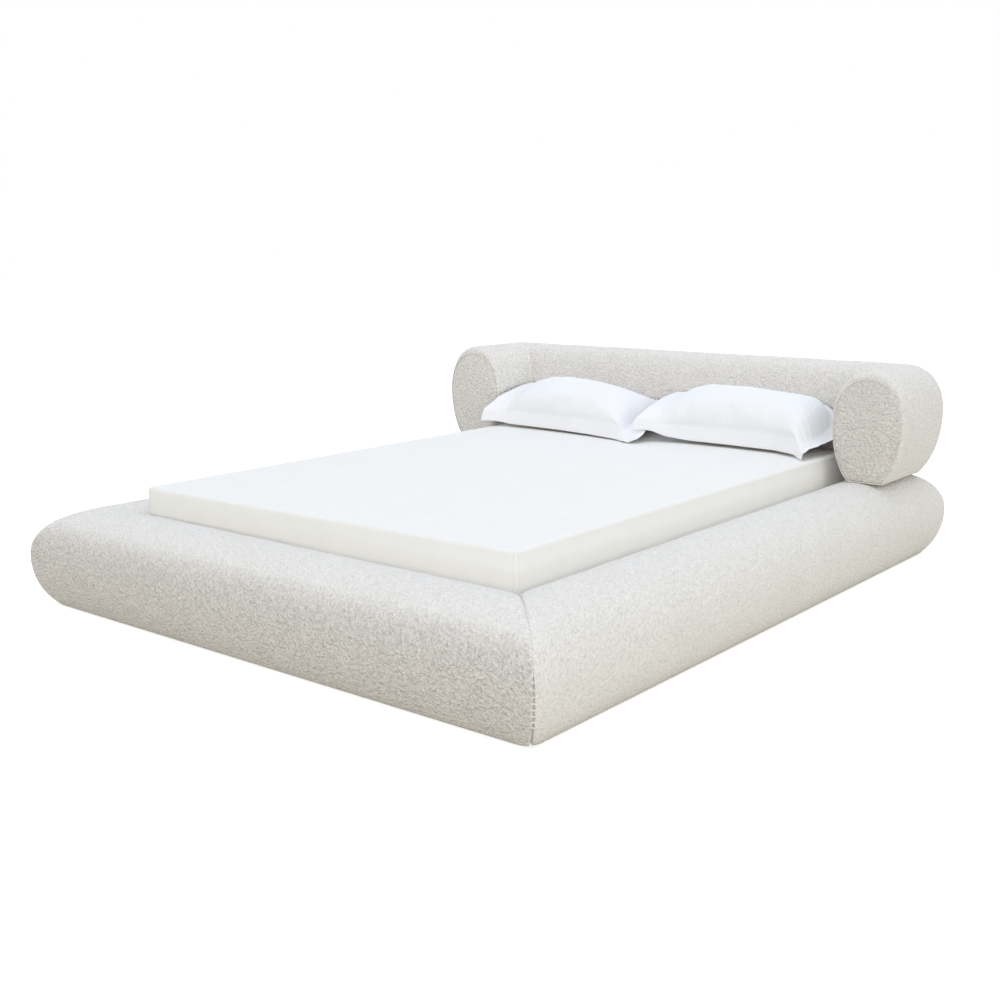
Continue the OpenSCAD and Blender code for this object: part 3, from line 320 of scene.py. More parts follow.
def sewing_thread(tree):
    """Bonded polyester sewing thread: three twisted strands, drawn 3.2 mm thick in all so that they show."""
    c = bpy.context.scene.bed_finish
    ribbed_cloth(tree, c.boucle_shade, c.boucle, (0.2, 0.8), {"Scale": 160.0, "Distortion": 0.5},
                 0.5, 0.0004, {"Roughness": 0.6, "Sheen Weight": 0.1})


def timber(tree, along, ring_mm):
    """Planed softwood or birch ply: growth rings run along the board as long wavy lines, with fine darker
    pores and the low sheen of bare planed timber. The rings are drawn at twice their distance, so that they
    show."""
    c = bpy.context.scene.bed_finish
    place = add(tree, "ShaderNodeTexCoord").outputs["Object"]
    stretch = [0.06 if axis == along else 1 for axis in "XYZ"]
    grain = add(tree, "ShaderNodeMapping", {"Vector": place, "Scale": stretch}).outputs["Vector"]
    drift = add(tree, "ShaderNodeTexNoise", {"Vector": grain, "Scale": 9.0, "Detail": 2.0}).outputs["Color"]
    bent = add(tree, "ShaderNodeMix", {0: 0.06, 4: grain, 5: drift}, data_type="VECTOR").outputs[1]
    rings = add(tree, "ShaderNodeTexWave", {
        "Vector": bent, "Scale": 160 / ring_mm, "Distortion": 3.0, "Detail": 3.0, "Detail Scale": 1.5},
        wave_type="RINGS", rings_direction=along)
    pores = add(tree, "ShaderNodeTexNoise", {"Vector": grain, "Scale": 500.0, "Detail": 2.0}).outputs["Fac"]
    halfway = tuple((a + b) / 2 for a, b in zip(c.pine, c.pine_ring))
    ringed = add(tree, "ShaderNodeValToRGB", {"Fac": rings.outputs["Fac"]},
                 [(0.25, c.pine), (0.85, halfway), (1.0, c.pine_ring)])
    dark = add(tree, "ShaderNodeValToRGB", {"Fac": pores}, [(0.3, (0.88, 0.85, 0.8)), (0.48, (1, 1, 1))])
    base = add(tree, "ShaderNodeMix", {0: 0.7, 6: ringed.outputs["Color"], 7: dark.outputs["Color"]},
               data_type="RGBA", blend_type="MULTIPLY").outputs[2]
    normal = add(tree, "ShaderNodeBump", {"Height": pores, "Strength": 0.25, "Distance": 0.0004})
    end_material(tree, base, normal.outputs["Normal"], {"Roughness": 0.6, "IOR": 1.5})


def grained(tree, tone, dark, light, grain, strength, depth, sockets):
    """A coat or a moulding with a fine grain, which goes from a dark to a light share of one tone."""
    place = add(tree, "ShaderNodeTexCoord").outputs["Object"]
    spots = add(tree, "ShaderNodeTexNoise", {"Vector": place, "Scale": grain, "Detail": 2.0}).outputs["Fac"]
    base = add(tree, "ShaderNodeValToRGB", {"Fac": spots},
               [(0.3, shaded(tone, dark)), (0.7, shaded(tone, light))])
    normal = add(tree, "ShaderNodeBump", {"Height": spots, "Strength": strength, "Distance": depth})
    end_material(tree, base.outputs["Color"], normal.outputs["Normal"], sockets)


def coated_steel(tree):
    """Powder-coated steel: pressed plate with a baked black coat, which shows a fine orange peel about 1 mm
    across and a soft, broad highlight."""
    tone = bpy.context.scene.bed_finish.steel
    grained(tree, tone, 0.8, 1.2, 900.0, 0.3, 0.0003, {"Roughness": 0.45, "IOR": 1.5})


def nylon(tree):
    """Moulded nylon: a slightly waxy black with the faint grain of a spark-eroded mould, 0.7 mm across."""
    tone = bpy.context.scene.bed_finish.nylon
    grained(tree, tone, 0.85, 1.0, 1500.0, 0.2, 0.0002, {"Roughness": 0.5, "IOR": 1.53})


def zinc(tree):
    """Zinc-plated steel: drawn and headed wire with a bright passivated coat, faintly clouded every 5 mm."""
    tone = bpy.context.scene.bed_finish.zinc
    place = add(tree, "ShaderNodeTexCoord").outputs["Object"]
    cloud = add(tree, "ShaderNodeTexNoise", {"Vector": place, "Scale": 220.0, "Detail": 4.0}).outputs["Fac"]
    base = add(tree, "ShaderNodeValToRGB", {"Fac": cloud}, [(0.3, shaded(tone, 0.85)), (0.7, tone)])
    rough = add(tree, "ShaderNodeMapRange",
                {"Value": cloud, "To Min": 0.28, "To Max": 0.45}).outputs["Result"]
    end_material(tree, base.outputs["Color"], None, {"Metallic": 1.0, "Roughness": rough})


def seen_directly(tree):
    """1 where the camera looks straight at a surface or its mirror image, and 0 where it only gives light."""
    path = add(tree, "ShaderNodeLightPath").outputs
    seen = path["Is Camera Ray"]
    for way in ("Is Glossy Ray", "Is Transmission Ray"):
        seen = add(tree, "ShaderNodeMath", {0: seen, 1: path[way]}, operation="MAXIMUM").outputs[0]
    return seen


def painted_floor(tree):
    """Matt floor paint. It throws back a pale warm light, and the camera sees it white with the bed's
    shadow."""
    bounce = add(tree, "ShaderNodeBsdfDiffuse", {"Color": rgba(linear("#E4E0D7"))}).outputs[0]
    white = add(tree, "ShaderNodeBsdfDiffuse", {"Color": (0.65, 0.65, 0.65, 1)}).outputs[0]
    glow = add(tree, "ShaderNodeEmission", {"Color": (1, 1, 1, 1), "Strength": 0.64}).outputs[0]
    shown = add(tree, "ShaderNodeAddShader", {0: white, 1: glow}).outputs[0]
    mixed = add(tree, "ShaderNodeMixShader", {0: seen_directly(tree), 1: bounce, 2: shown}).outputs[0]
    add(tree, "ShaderNodeOutputMaterial", {"Surface": mixed})


# The pillowcases' finish carries painted cool light
BOUCLE, SHEET_COTTON, CASE_COTTON = "looped_wool_boucle", "washed_cotton_percale", "whitened_cotton_percale"
TICKING, WEBBING, THREAD = "knitted_ticking", "woven_cotton_webbing", "twisted_polyester_thread"
PINE_ACROSS, PINE_ALONG, PINE_SLATS = "planed_pine_across", "planed_pine_along", "planed_pine_slats"
PINE_TURNED, PLYWOOD = "turned_pine", "birch_plywood"
STEEL, ZINC, NYLON = "powder_coated_steel", "zinc_plated_steel", "moulded_nylon"
FLOOR_PAINT = "pale_painted_floor"

# Each finish's function, and what that needs: the white of a cotton, or the way that timber's grain runs and
# the distance between its rings in millimetres
FINISHES = {
    BOUCLE: (boucle,), SHEET_COTTON: (percale, "cotton"), CASE_COTTON: (percale, "case"),
    TICKING: (ticking,), WEBBING: (webbing,), THREAD: (sewing_thread,),
    PINE_ACROSS: (timber, "X", 7.0), PINE_ALONG: (timber, "Y", 7.0), PINE_SLATS: (timber, "X", 7.0),
    PINE_TURNED: (timber, "Z", 5.0), PLYWOOD: (timber, "X", 3.0),
    STEEL: (coated_steel,), ZINC: (zinc,), NYLON: (nylon,), FLOOR_PAINT: (painted_floor,),
}


def finish(name):
    """The material of this name, drawn the first time that it is asked for."""
    made = bpy.data.materials.get(name)
    if made is None:
        made = bpy.data.materials.new(name)
        made.use_nodes = True
        made.node_tree.nodes.clear()
        draw, *settings = FINISHES[name]
        draw(made.node_tree, *settings)
    return made


# Mesh helpers


def flat_tuples(rows, kind):
    return [tuple(map(kind, row)) for row in rows]


def mesh_piece(name, points, faces, material, fill=()):
    """A smooth-shaded mesh object at the origin. The faces in fill are flat, and are cut to triangles."""
    mesh = bpy.data.meshes.new(name)
    mesh.from_pydata(flat_tuples(points, float), [], flat_tuples(faces, int) + [tuple(f) for f in fill])
    mesh.validate()
    work = bmesh.new()
    work.from_mesh(mesh)
    bmesh.ops.triangulate(work, faces=[f for f in work.faces if len(f.verts) > 4], ngon_method="EAR_CLIP")
    bmesh.ops.recalc_face_normals(work, faces=work.faces)
    work.to_mesh(mesh)
    work.free()
    mesh.polygons.foreach_set("use_smooth", [True] * len(mesh.polygons))
    mesh.materials.append(finish(material))
    piece = bpy.data.objects.new(name, mesh)
    bpy.context.scene.collection.objects.link(piece)
    return piece


def placed(piece, body, slot, *nodes):
    """Lets a finished piece ride on a body, and hides the nodes that it replaces. The material slot is not used.
    """
    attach(piece, body)
    if nodes:
        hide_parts(*nodes)


def ring_faces(rows, n, closed_rows=False):
    """Quads between rows of n points that run round a closed ring."""
    index = np.arange(n)
    after = (index + 1) % n
    faces = []
    for i in range(rows if closed_rows else rows - 1):
        a, b = i * n, ((i + 1) % rows) * n
        faces.append(np.stack([a + index, a + after, b + after, b + index], 1))
    return np.concatenate(faces)


def lofted(name, rows, material):
    """A closed form through rows of points, each of which runs once round it."""
    n = len(rows[0])
    points = np.concatenate(rows)
    ends = [range(n), range(len(points) - n, len(points))]
    return mesh_piece(name, points, ring_faces(len(rows), n), material, ends)


def resampled(points, count):
    """The same line as count points, evenly spaced along it."""
    points = np.asarray(points, float)
    steps = np.r_[0, np.cumsum(np.linalg.norm(np.diff(points, axis=0), axis=1))]
    at = np.linspace(0, steps[-1], count)
    return np.stack([np.interp(at, steps, points[:, k]) for k in range(points.shape[1])], 1)


def crowded_steps(length, step):
    """Shares from 0 to 1 along a length, closer together near both ends."""
    near = np.array(END_STEPS) / length
    middle = np.linspace(near[-1], 1 - near[-1], max(2, round((length - 2 * END_STEPS[-1]) / step)))
    return np.r_[near[:-1], middle, 1 - near[::-1][1:]]


def ramped(values, start, length):
    """0 up to the start, and from there up to 1 over the length. A negative length runs the other way."""
    return np.clip((values - start) / length, 0, 1)


def eased(shares):
    shares = np.clip(shares, 0, 1)
    return shares * shares * (3 - 2 * shares)


def round_in(shares):
    """How far a quarter round still stands back, from 1 at its start to 0 at its end."""
    return 1 - np.sqrt(1 - (1 - np.minimum(shares, 1)) ** 2)


def bumps(points, scale, seed):
    """Smooth noise from about -1 to 1 at each point."""
    away = Vector((seed, seed * 0.7, seed * 1.3))
    return np.array([noise.noise(Vector(p) * scale + away) for p in points])


def vertex_values(mesh, kind):
    """The co or the normal of each vertex of a mesh, as rows."""
    values = np.zeros(len(mesh.vertices) * 3)
    mesh.vertices.foreach_get(kind, values)
    return values.reshape(-1, 3)


def set_places(piece, places):
    piece.data.vertices.foreach_set("co", np.ascontiguousarray(places, np.float32).ravel())
    piece.data.update()


def soften(piece, depth, scale, seed, start, length):
    """Gives a piece the low, uneven swell of foam under cloth. It grows up to full over the length above the
    start's height."""
    places, normals = vertex_values(piece.data, "co"), vertex_values(piece.data, "normal")
    amount = depth * bumps(places, scale, seed) * ramped(places[:, 2], start, length)
    set_places(piece, places + normals * amount[:, None])


def mark_foot_shade(piece, shade_share):
    """Marks how much painted shade, with a deeper relief, a piece gets on its faces that are turned to the foot.
    """
    layer = piece.data.attributes.new(SHADE_MARK, "FLOAT", "POINT")
    layer.data.foreach_set("value", np.full(len(piece.data.vertices), shade_share, dtype=np.float32))


# Bolster rails

# Rows of faces close to a rail's ends, by their distance from the seam
END_STEPS = (0, 0.0015, 0.004, 0.008, 0.014, 0.021, 0.03, 0.04, 0.05)
# Length round a rail's section
RAIL_SKIN_RUN = 0.86
# A step in a mesh that is meant to be sharp is this long
SHARP = 0.0004
# Outside a rail the corner seams are sewn tight down to the first of these heights, and gape below the other
TIGHT_Z, GAPE_Z = 0.19, 0.205
SEAM_FADE = 0.03
# The gape opens over this length next to the seam
GAPE_REACH = 0.02


def rail_middle():
    """Height of the rails' widest line."""
    return FOOT_LOW.z + bpy.context.scene.bed_rails.bulge_h


def rail_skin(width):
    """The outer line of a rail's section as (distance out from the well, height), from the flap down to the
    floor."""
    r = bpy.context.scene.bed_rails
    top, mid = FOOT_HIGH.z, rail_middle()
    crest = width - r.back_w
    low_h = r.bulge_h / math.sqrt(1 - ((r.low_w - r.tuck_w) / r.low_w) ** 2)
    turn = np.linspace(0, math.pi / 2, 40)
    line = [(0.0, r.flap_z)]
    line += [(crest * (1 - math.cos(a)), top - r.roll_h + r.roll_h * math.sin(a)) for a in turn]
    power = 2 / r.squareness
    line += [(crest + r.back_w * math.cos(a) ** power, mid + (top - mid) * math.sin(a) ** power)
             for a in turn[::-1][1:]]
    last = math.asin(r.bulge_h / low_h)
    line += [(width - r.low_w * (1 - math.cos(a)), mid - low_h * math.sin(a))
             for a in np.linspace(0, last, 24)[1:]]
    return np.array(line)


def inward_from(skin, middle):
    """The direction that leads into a section at each point of its skin."""
    slope = np.gradient(skin, axis=0)
    normal = np.stack([-slope[:, 1], slope[:, 0]], 1) / np.linalg.norm(slope, axis=1)[:, None]
    return normal * np.where(np.sum(normal * (skin - middle), 1) > 0, -1, 1)[:, None]


def seam_radius(skin, width):
    """Radius of a cover's edge at a corner seam, at each point of its skin."""
    r = bpy.context.scene.bed_rails
    tight = ramped(skin[:, 1], TIGHT_Z, SEAM_FADE) * ramped(skin[:, 1], FOOT_HIGH.z - 0.02, -0.02)
    tight *= ramped(skin[:, 0], width - r.back_w, SEAM_FADE)
    return r.seam_round + (r.seam_tight - r.seam_round) * tight


def rail_hollow(skin, outside):
    """The line round the hollow for the boards, whose outer board reaches out to the outside."""
    z0, inside = FOOT_LOW.z, INNER_FOAM_T
    timber_top, flap_z = FOOT_HIGH.z - TOP_FOAM_T, bpy.context.scene.bed_rails.flap_z
    line = [(skin[-1, 0] - (skin[-1, 0] - outside) * k, z0) for k in (0.25, 0.5, 0.75, 1.0)]
    line += [(outside, z0 + (timber_top - z0) * k) for k in (0.33, 0.67, 1.0)]
    line += [((outside + inside) / 2, timber_top), (inside, timber_top)]
    return line + [(inside, flap_z), (inside / 2, flap_z)]


def rail_rows(width, length, low_w, high_w):
    """Rows of (along, out, height) down a rail, each once round its cover: the skin and the hollow for the
    boards. The rail meets one of the width low_w at its start and one of high_w at its end, each in a
    mitre."""
    r = bpy.context.scene.bed_rails
    mid = rail_middle()
    skin = resampled(rail_skin(width), round(RAIL_SKIN_RUN / r.grid))
    n = len(skin)
    inward, radius = inward_from(skin, (width / 2, mid)), seam_radius(skin, width)
    total = length + low_w + high_w
    setback, sharp = r.board_setback / total, SHARP
    steps = np.r_[crowded_steps(total, r.grid), setback, setback + sharp, 1 - setback - sharp, 1 - setback]
    rows = []
    for s in np.sort(steps):
        # Near the corners only the inner board goes on
        outside = INNER_FOAM_T + BOARD_T if s <= setback or s >= 1 - setback else width - SIDE_FOAM_T
        section = np.concatenate([skin, rail_hollow(skin, outside)])
        out, z = section.T.copy()
        run = length + out * (low_w + high_w) / width
        back = np.minimum(s * run, (1 - s) * run)
        # The edge rounds over close to the seam, and the whole cover draws in a little further off
        edge = radius * round_in(back[:n] / radius)
        drawn = (1 - r.pinch) * np.clip(1 - back[:n] / r.seam_reach, 0, 1) ** 2
        z[:n] += (mid - z[:n]) * drawn + inward[:, 1] * edge
        out[:n] += inward[:, 0] * edge
        gape = r.seam_gap * ramped(z, GAPE_Z, -SEAM_FADE)
        gape[n:] = 0
        open_up = FIT / 2 + gape * np.clip(1 - back / GAPE_REACH, 0, 1)
        low_end, high_end = length / 2 + out * low_w / width, length / 2 + out * high_w / width
        along = np.where(s < 0.5, s * run - low_end + open_up, high_end - (1 - s) * run - open_up)
        rows.append(np.stack([along, out, z], 1))
    return rows


def make_rail(side, width, length, low_w, high_w, place, seed):
    rows = [np.stack(place(*row.T), 1) for row in rail_rows(width, length, low_w, high_w)]
    piece = lofted(f"{side}_rail_upholstery", rows, BOUCLE)
    soften(piece, 0.0016, 7.0, seed, 0.04, 0.06)
    placed(piece, FRAME_BODY, "boucle", f"{side}_rail_cover")
    return piece


def well_size():
    """Half the mattress well's width, and where it starts and ends along Y."""
    gap = SHEET_T + WELL_GAP
    return MATTRESS_HIGH.x + gap, MATTRESS_LOW.y - gap, MATTRESS_HIGH.y + gap


class BED_OT_rail_covers(bpy.types.Operator):
    """Upholster the four bolster rails"""

    bl_idname = "bed.rail_covers"
    bl_label = "Rail covers"

    def execute(self, context):
        r = context.scene.bed_rails
        half, near, far = well_size()
        across, along, middle = 2 * half, far - near, (near + far) / 2
        foot = make_rail("foot", r.foot_w, across, r.side_w, r.side_w, lambda a, o, z: (a, near - o, z), 3.1)
        # The foot rail's face towards the foot gets the full painted shade
        mark_foot_shade(foot, 1.0)
        make_rail("head", r.head_w, across, r.side_w, r.side_w, lambda a, o, z: (-a, far + o, z), 5.7)
        make_rail("right", r.side_w, along, r.foot_w, r.head_w,
                  lambda a, o, z: (half + o, middle + a, z), 8.3)
        make_rail("left", r.side_w, along, r.head_w, r.foot_w,
                  lambda a, o, z: (-half - o, middle - a, z), 11.9)
        return {"FINISHED"}


# Bolster headboard

HEAD_SKIN_RUN = 1.15
# Rows of faces over a return's rounded end, as shares of its length
END_ROUND_STEPS = (0, 0.03, 0.09, 0.18, 0.3, 0.45, 0.62, 0.8, 1)
# Rings of faces over an end panel, as shares of its size from the middle
PANEL_RINGS = (0.04, 0.15, 0.3, 0.45, 0.6, 0.72, 0.82, 0.9, 0.95, 0.98, 1.0)
# Share of the end's outline at which the panel ends and the piping lies
PANEL_SHARE, PIPING_SHARE = 0.98, 0.986
PIPING_SIDES = 8


def head_section(count):
    """The headboard's section as (share of the half thickness, height), from inside over the crest."""
    h = bpy.context.scene.bed_head
    top, mid = BOLSTER_HIGH.z, BOLSTER_LOW.z + h.bulge_h
    low = math.asin(h.bulge_h / h.drop_h)
    power = 2 / h.squareness
    line = [(-math.cos(a), mid - h.drop_h * math.sin(a)) for a in np.linspace(low, 0, 30)[:-1]]
    for a in np.linspace(0, math.pi, 81):
        c, s = math.cos(a), max(math.sin(a), 0.0)
        line.append((-math.copysign(abs(c) ** power, c), mid + (top - mid) * s**power))
    line += [(math.cos(a), mid - h.drop_h * math.sin(a)) for a in np.linspace(0, low, 30)[1:]]
    scale = np.array([h.arm_t / 2, 1.0])
    return resampled(np.array(line) * scale, count) / scale


def head_row(x, y, z, outer, inner, top):
    """One row round the headboard's cover: its skin, and the hollow for the box from the outer wall's foot over
    to the inner wall's foot."""
    z0 = BOLSTER_LOW.z
    skin = np.stack([x, y, z], 1)
    o, i, half_up = np.array(outer), np.array(inner), z0 + (top - z0) / 2
    core = [(*o, z0), (*o, half_up), (*o, top), (*((o + i) / 2), top), (*i, top), (*i, half_up), (*i, z0)]
    core = np.array(core)
    lead = skin[-1] + (core[0] - skin[-1]) * 0.5
    trail = core[-1] + (skin[0] - core[-1]) * 0.5
    return np.concatenate([skin, [lead], core, [trail]])


def headboard_rows():
    """Rows round the headboard's cover along the right half of its U, from the return's end to the middle."""
    h = bpy.context.scene.bed_head
    z0, front = BOLSTER_LOW.z, BOLSTER_LOW.y
    arm_half, back_half = h.arm_t / 2, h.back_t / 2
    wall_arm, wall_back = h.arm_box_w / 2, h.back_box_w / 2
    arm_x, back_y = BOLSTER_HIGH.x - arm_half, BOLSTER_HIGH.y - back_half
    box_y0, box_z = front + h.round_l, z0 + h.box_top
    sh, z = head_section(round(HEAD_SKIN_RUN / h.grid)).T
    radius = np.where(sh < 0, h.inner_r + (h.crest_r - h.inner_r) * (1 + sh) ** 2,
                      h.crest_r + (h.outer_r - h.crest_r) * sh)
    rows = []
    # The rounded end, which has no hollow yet
    for s in END_ROUND_STEPS:
        k = 1 + (h.end_share - 1) * float(round_in(np.array(s)))
        y = front + s * h.round_l
        rows.append(head_row(arm_x + sh * k * arm_half, np.full(len(sh), y), z0 + (z - z0) * k,
                             (arm_x + wall_arm, y), (arm_x - wall_arm, y), z0 + 0.0005))
    # The return
    end_y = back_y + sh * back_half - radius
    inner_y = back_y - wall_back
    count = max(2, round((end_y.mean() - box_y0) / h.grid))
    for t in np.r_[0.0006, np.linspace(0, 1, count)[1:-1]]:
        rows.append(head_row(arm_x + sh * arm_half, box_y0 + t * (end_y - box_y0), z,
                             (arm_x + wall_arm, box_y0 + t * (back_y - box_y0)),
                             (arm_x - wall_arm, box_y0 + t * (inner_y - box_y0)), box_z))
    # The corner, where the box's outer wall goes on to its own corner and then along the back
    for a in np.radians(np.linspace(0, 90, 15)):
        turn = a / (math.pi / 4)
        outer = (arm_x + wall_arm - max(turn - 1, 0) * wall_arm, back_y + min(turn, 1) * wall_back)
        rows.append(head_row(arm_x + sh * arm_half - radius * (1 - math.cos(a)),
                             back_y + sh * back_half - radius * (1 - math.sin(a)), z,
                             outer, (arm_x - wall_arm, inner_y), box_z))
    # The back, as far as the middle
    start_x = arm_x + sh * arm_half - radius
    for t in np.linspace(1, 0, max(2, round(start_x.mean() / h.grid)))[1:]:
        rows.append(head_row(start_x * t, back_y + sh * back_half, z, (arm_x * t, back_y + wall_back),
                             ((arm_x - wall_arm) * t, inner_y), box_z))
    return rows


def end_outline(share_left, count=120):
    """Outline of a return's front end as (x, z) on the right, drawn in about its middle."""
    h = bpy.context.scene.bed_head
    z0, k = BOLSTER_LOW.z, h.end_share
    arm_x = BOLSTER_HIGH.x - h.arm_t / 2
    section = head_section(count)
    edge = np.stack([arm_x + section[:, 0] * k * h.arm_t / 2, z0 + (section[:, 1] - z0) * k], 1)
    underside = resampled([edge[-1], edge[0]], 14)[1:-1]
    middle = np.array([arm_x, z0 + (BOLSTER_HIGH.z - z0) * k / 2])
    return middle + (np.concatenate([edge, underside]) - middle) * share_left


def mirrored(rows):
    return [row * np.array([-1, 1, 1]) for row in rows]


def panel_rows():
    """Rows of the right end panel, from its crown at the front to its edge."""
    rows = []
    for k in PANEL_RINGS:
        outline = end_outline(k * PANEL_SHARE)
        y = PANEL_LOW.y + (PANEL_HIGH.y - PANEL_LOW.y) * (1 - math.sqrt(1 - k**3))
        rows.append(np.stack([outline[:, 0], np.full(len(outline), y), outline[:, 1]], 1))
    return rows


def piping_rows():
    """Rows of points round the piping of the right end panel, which runs once round the panel."""
    radius = bpy.context.scene.bed_head.piping_r
    ring = end_outline(PIPING_SHARE, 160)
    y = PANEL_HIGH.y - radius * 1.2
    turns = np.linspace(0, 2 * math.pi, PIPING_SIDES + 1)[:-1]
    rows = []
    for before, (x, z), after in zip(np.roll(ring, 1, 0), ring, np.roll(ring, -1, 0)):
        d = (after - before) / np.linalg.norm(after - before)
        rows.append(np.array([(x + d[1] * math.cos(a) * radius, y + math.sin(a) * radius,
                               z - d[0] * math.cos(a) * radius) for a in turns]))
    return rows


class BED_OT_headboard(bpy.types.Operator):
    """Upholster the bolster headboard, its end panels and their piping"""

    bl_idname = "bed.headboard"
    bl_label = "Headboard"

    def execute(self, context):
        right = headboard_rows()
        cover = lofted("headboard_upholstery", right + mirrored(right[:-1])[::-1], BOUCLE)
        soften(cover, 0.0018, 6.0, 2.2, 0.34, 0.05)
        # The headboard gets a little of that painted shade
        mark_foot_shade(cover, 0.3)
        placed(cover, FRAME_BODY, "boucle", "headboard_cover")
        # Each end panel gets its own share of that painted shade
        for side, shade_amount, facing in (("right", 0.75, list), ("left", 0.35, mirrored)):
            panel = lofted(f"{side}_end_upholstery", facing(panel_rows()), BOUCLE)
            mark_foot_shade(panel, shade_amount)
            placed(panel, FRAME_BODY, "boucle", f"{side}_end_panel")
            tube = facing(piping_rows())
            faces = ring_faces(len(tube), PIPING_SIDES, closed_rows=True)
            piping = mesh_piece(f"{side}_end_piping", np.concatenate(tube), faces, BOUCLE)
            placed(piping, FRAME_BODY, "boucle_piping", f"{side}_piping")
        return {"FINISHED"}


# Mattress and sheet

MATTRESS_CORNER_R, SHEET_CORNER_R, EDGE_R = 0.026, 0.024, 0.012
MATTRESS_GRID, MATTRESS_UNDERSIDE = 0.02, 0.05
# The mattress stands back from its solid by this much, and the sheet from its own
MATTRESS_INSET = Vector((0.0045, 0.0045, 0.001)), Vector((0.0045, 0.0045, 0.0035))
SHEET_INSET = Vector((0.0006, 0.0006, 0.0002)), Vector((0.0006, 0.0006, 0.0008))
# The dart that boxes a corner of the sheet, across it and out from it: two ridges of folded cloth
DART = ((-0.0075, -0.0012), (-0.006, 0.0008), (-0.0045, 0.0024), (-0.003, 0.0008), (0.0, -0.0004),
        (0.003, 0.0008), (0.0045, 0.0024), (0.006, 0.0008), (0.0075, -0.0012))
DART_INSIDE = -0.0015


def quarter(count, radius, first=0.0, last=math.pi / 2):
    """A quarter round as (distance in, distance down) from the corner that it rounds off."""
    return [(radius * (1 - math.cos(a)), radius * (1 - math.sin(a))) for a in np.linspace(first, last, count)]


def slab_grid(low, high, corner_r, step, hem):
    """A skin over a slab with round corners and edges, open only underneath: rings from the hem's edge up to
    the top, then a grid over that. Gives the points, the faces, and the number of points in a ring."""
    w, l = high.x - low.x, high.y - low.y
    nx, ny = max(8, round(w / step)), max(8, round(l / step))
    xs, ys = np.linspace(-1, 1, nx + 1), np.linspace(-1, 1, ny + 1)
    centre = np.array([(low.x + high.x) / 2, (low.y + high.y) / 2])

    def on_plan(cells, inset, z):
        """Points of the grid's cells, on the slab drawn in by the inset, with its corners rounded."""
        half = np.array([w / 2 - inset, l / 2 - inset])
        r = max(corner_r - inset, 0.002)
        p = np.array([(xs[i], ys[j]) for i, j in cells]) * half
        over = np.abs(p) - (half - r)
        corner = (over > 0).all(1)
        length = np.hypot(over[corner, 0], over[corner, 1])
        grow = over[corner].max(1) / np.maximum(length, 1e-9)
        p[corner] = np.sign(p[corner]) * ((half - r) + over[corner] * grow[:, None])
        return np.column_stack([p + centre, np.full(len(p), z)])

    rim = [(i, 0) for i in range(nx)] + [(nx, j) for j in range(ny)]
    rim += [(i, ny) for i in range(nx, 0, -1)] + [(0, j) for j in range(ny, 0, -1)]
    inside = [(i, j) for i in range(1, nx) for j in range(1, ny)]
    levels = [(hem - k * (hem - EDGE_R), low.z) for k in np.linspace(0, 1, max(3, round(hem / step)))]
    levels += [(down, low.z + inset) for inset, down in quarter(6, EDGE_R)[1:]]
    straight = np.linspace(low.z + EDGE_R, high.z - EDGE_R, max(4, round((high.z - low.z) / step)))
    levels += [(0.0, z) for z in straight[1:-1]]
    levels += [(inset, high.z - down) for inset, down in quarter(6, EDGE_R)]
    points = [on_plan(rim, inset, z) for inset, z in levels] + [on_plan(inside, EDGE_R, high.z)]
    n = len(rim)
    number = np.zeros((nx + 1, ny + 1), int)
    for k, cell in enumerate(rim + inside):
        number[cell] = (len(levels) - 1) * n + k
    top = [(number[i, j], number[i + 1, j], number[i + 1, j + 1], number[i, j + 1])
           for i in range(nx) for j in range(ny)]
    return np.concatenate(points), np.concatenate([ring_faces(len(levels), n), np.array(top)]), n


def lean(places):
    """Lets the bedding's sides swell over the rails' round edges, most of all at the left foot corner, which
    sags a little too, as a slept-on mattress does."""
    b, r = bpy.context.scene.bed_bedding, bpy.context.scene.bed_rails
    x, y, z = places.T
    # Shares of the way to the left side and to the foot
    u = ramped(x, SHEET_HIGH.x, SHEET_LOW.x - SHEET_HIGH.x)
    v = ramped(y, SHEET_HIGH.y, SHEET_LOW.y - SHEET_HIGH.y)
    # Beside a rail the bedding can only go as far as the rail's round edge lets it
    risen = np.clip((z - (FOOT_HIGH.z - r.roll_h)) / r.roll_h, 0, 0.995)
    give = 1 - np.sqrt(1 - risen**2)
    clear = (WELL_GAP - 0.0015) * eased(risen / 0.1)
    swell = b.side_swell * eased((SHEET_HIGH.z - 0.012 - z) / 0.05) * (1 - u * v) ** 2
    at_side, at_foot = eased(1 - (SHEET_HIGH.x - np.abs(x)) / 0.03), eased(1 - (y - SHEET_LOW.y) / 0.03)
    out_side = swell * at_side + b.corner_out * np.clip(2 * u - 1, 0, 1) * v**2
    out_foot = swell * at_foot + b.corner_drift * u * v
    moved = places.copy()
    moved[:, 0] += np.sign(x) * np.minimum(out_side, (r.side_w - r.back_w) * give + clear)
    moved[:, 1] -= np.minimum(out_foot, (r.foot_w - r.back_w) * give + clear)
    moved[:, 2] -= b.corner_sag * u * v**2 * eased((z - 0.33) / (SHEET_HIGH.z - 0.33))
    return moved


class BED_OT_mattress(bpy.types.Operator):
    """Make the mattress, which is a plain slab with round edges"""

    bl_idname = "bed.mattress"
    bl_label = "Mattress"

    def execute(self, context):
        low, high = MATTRESS_LOW + MATTRESS_INSET[0], MATTRESS_HIGH - MATTRESS_INSET[1]
        points, faces, rim = slab_grid(low, high, MATTRESS_CORNER_R, MATTRESS_GRID, MATTRESS_UNDERSIDE)
        piece = mesh_piece("mattress_ticking", lean(points), faces, TICKING, [range(rim)])
        placed(piece, MATTRESS_BODY, "ticking", "mattress")
        return {"FINISHED"}


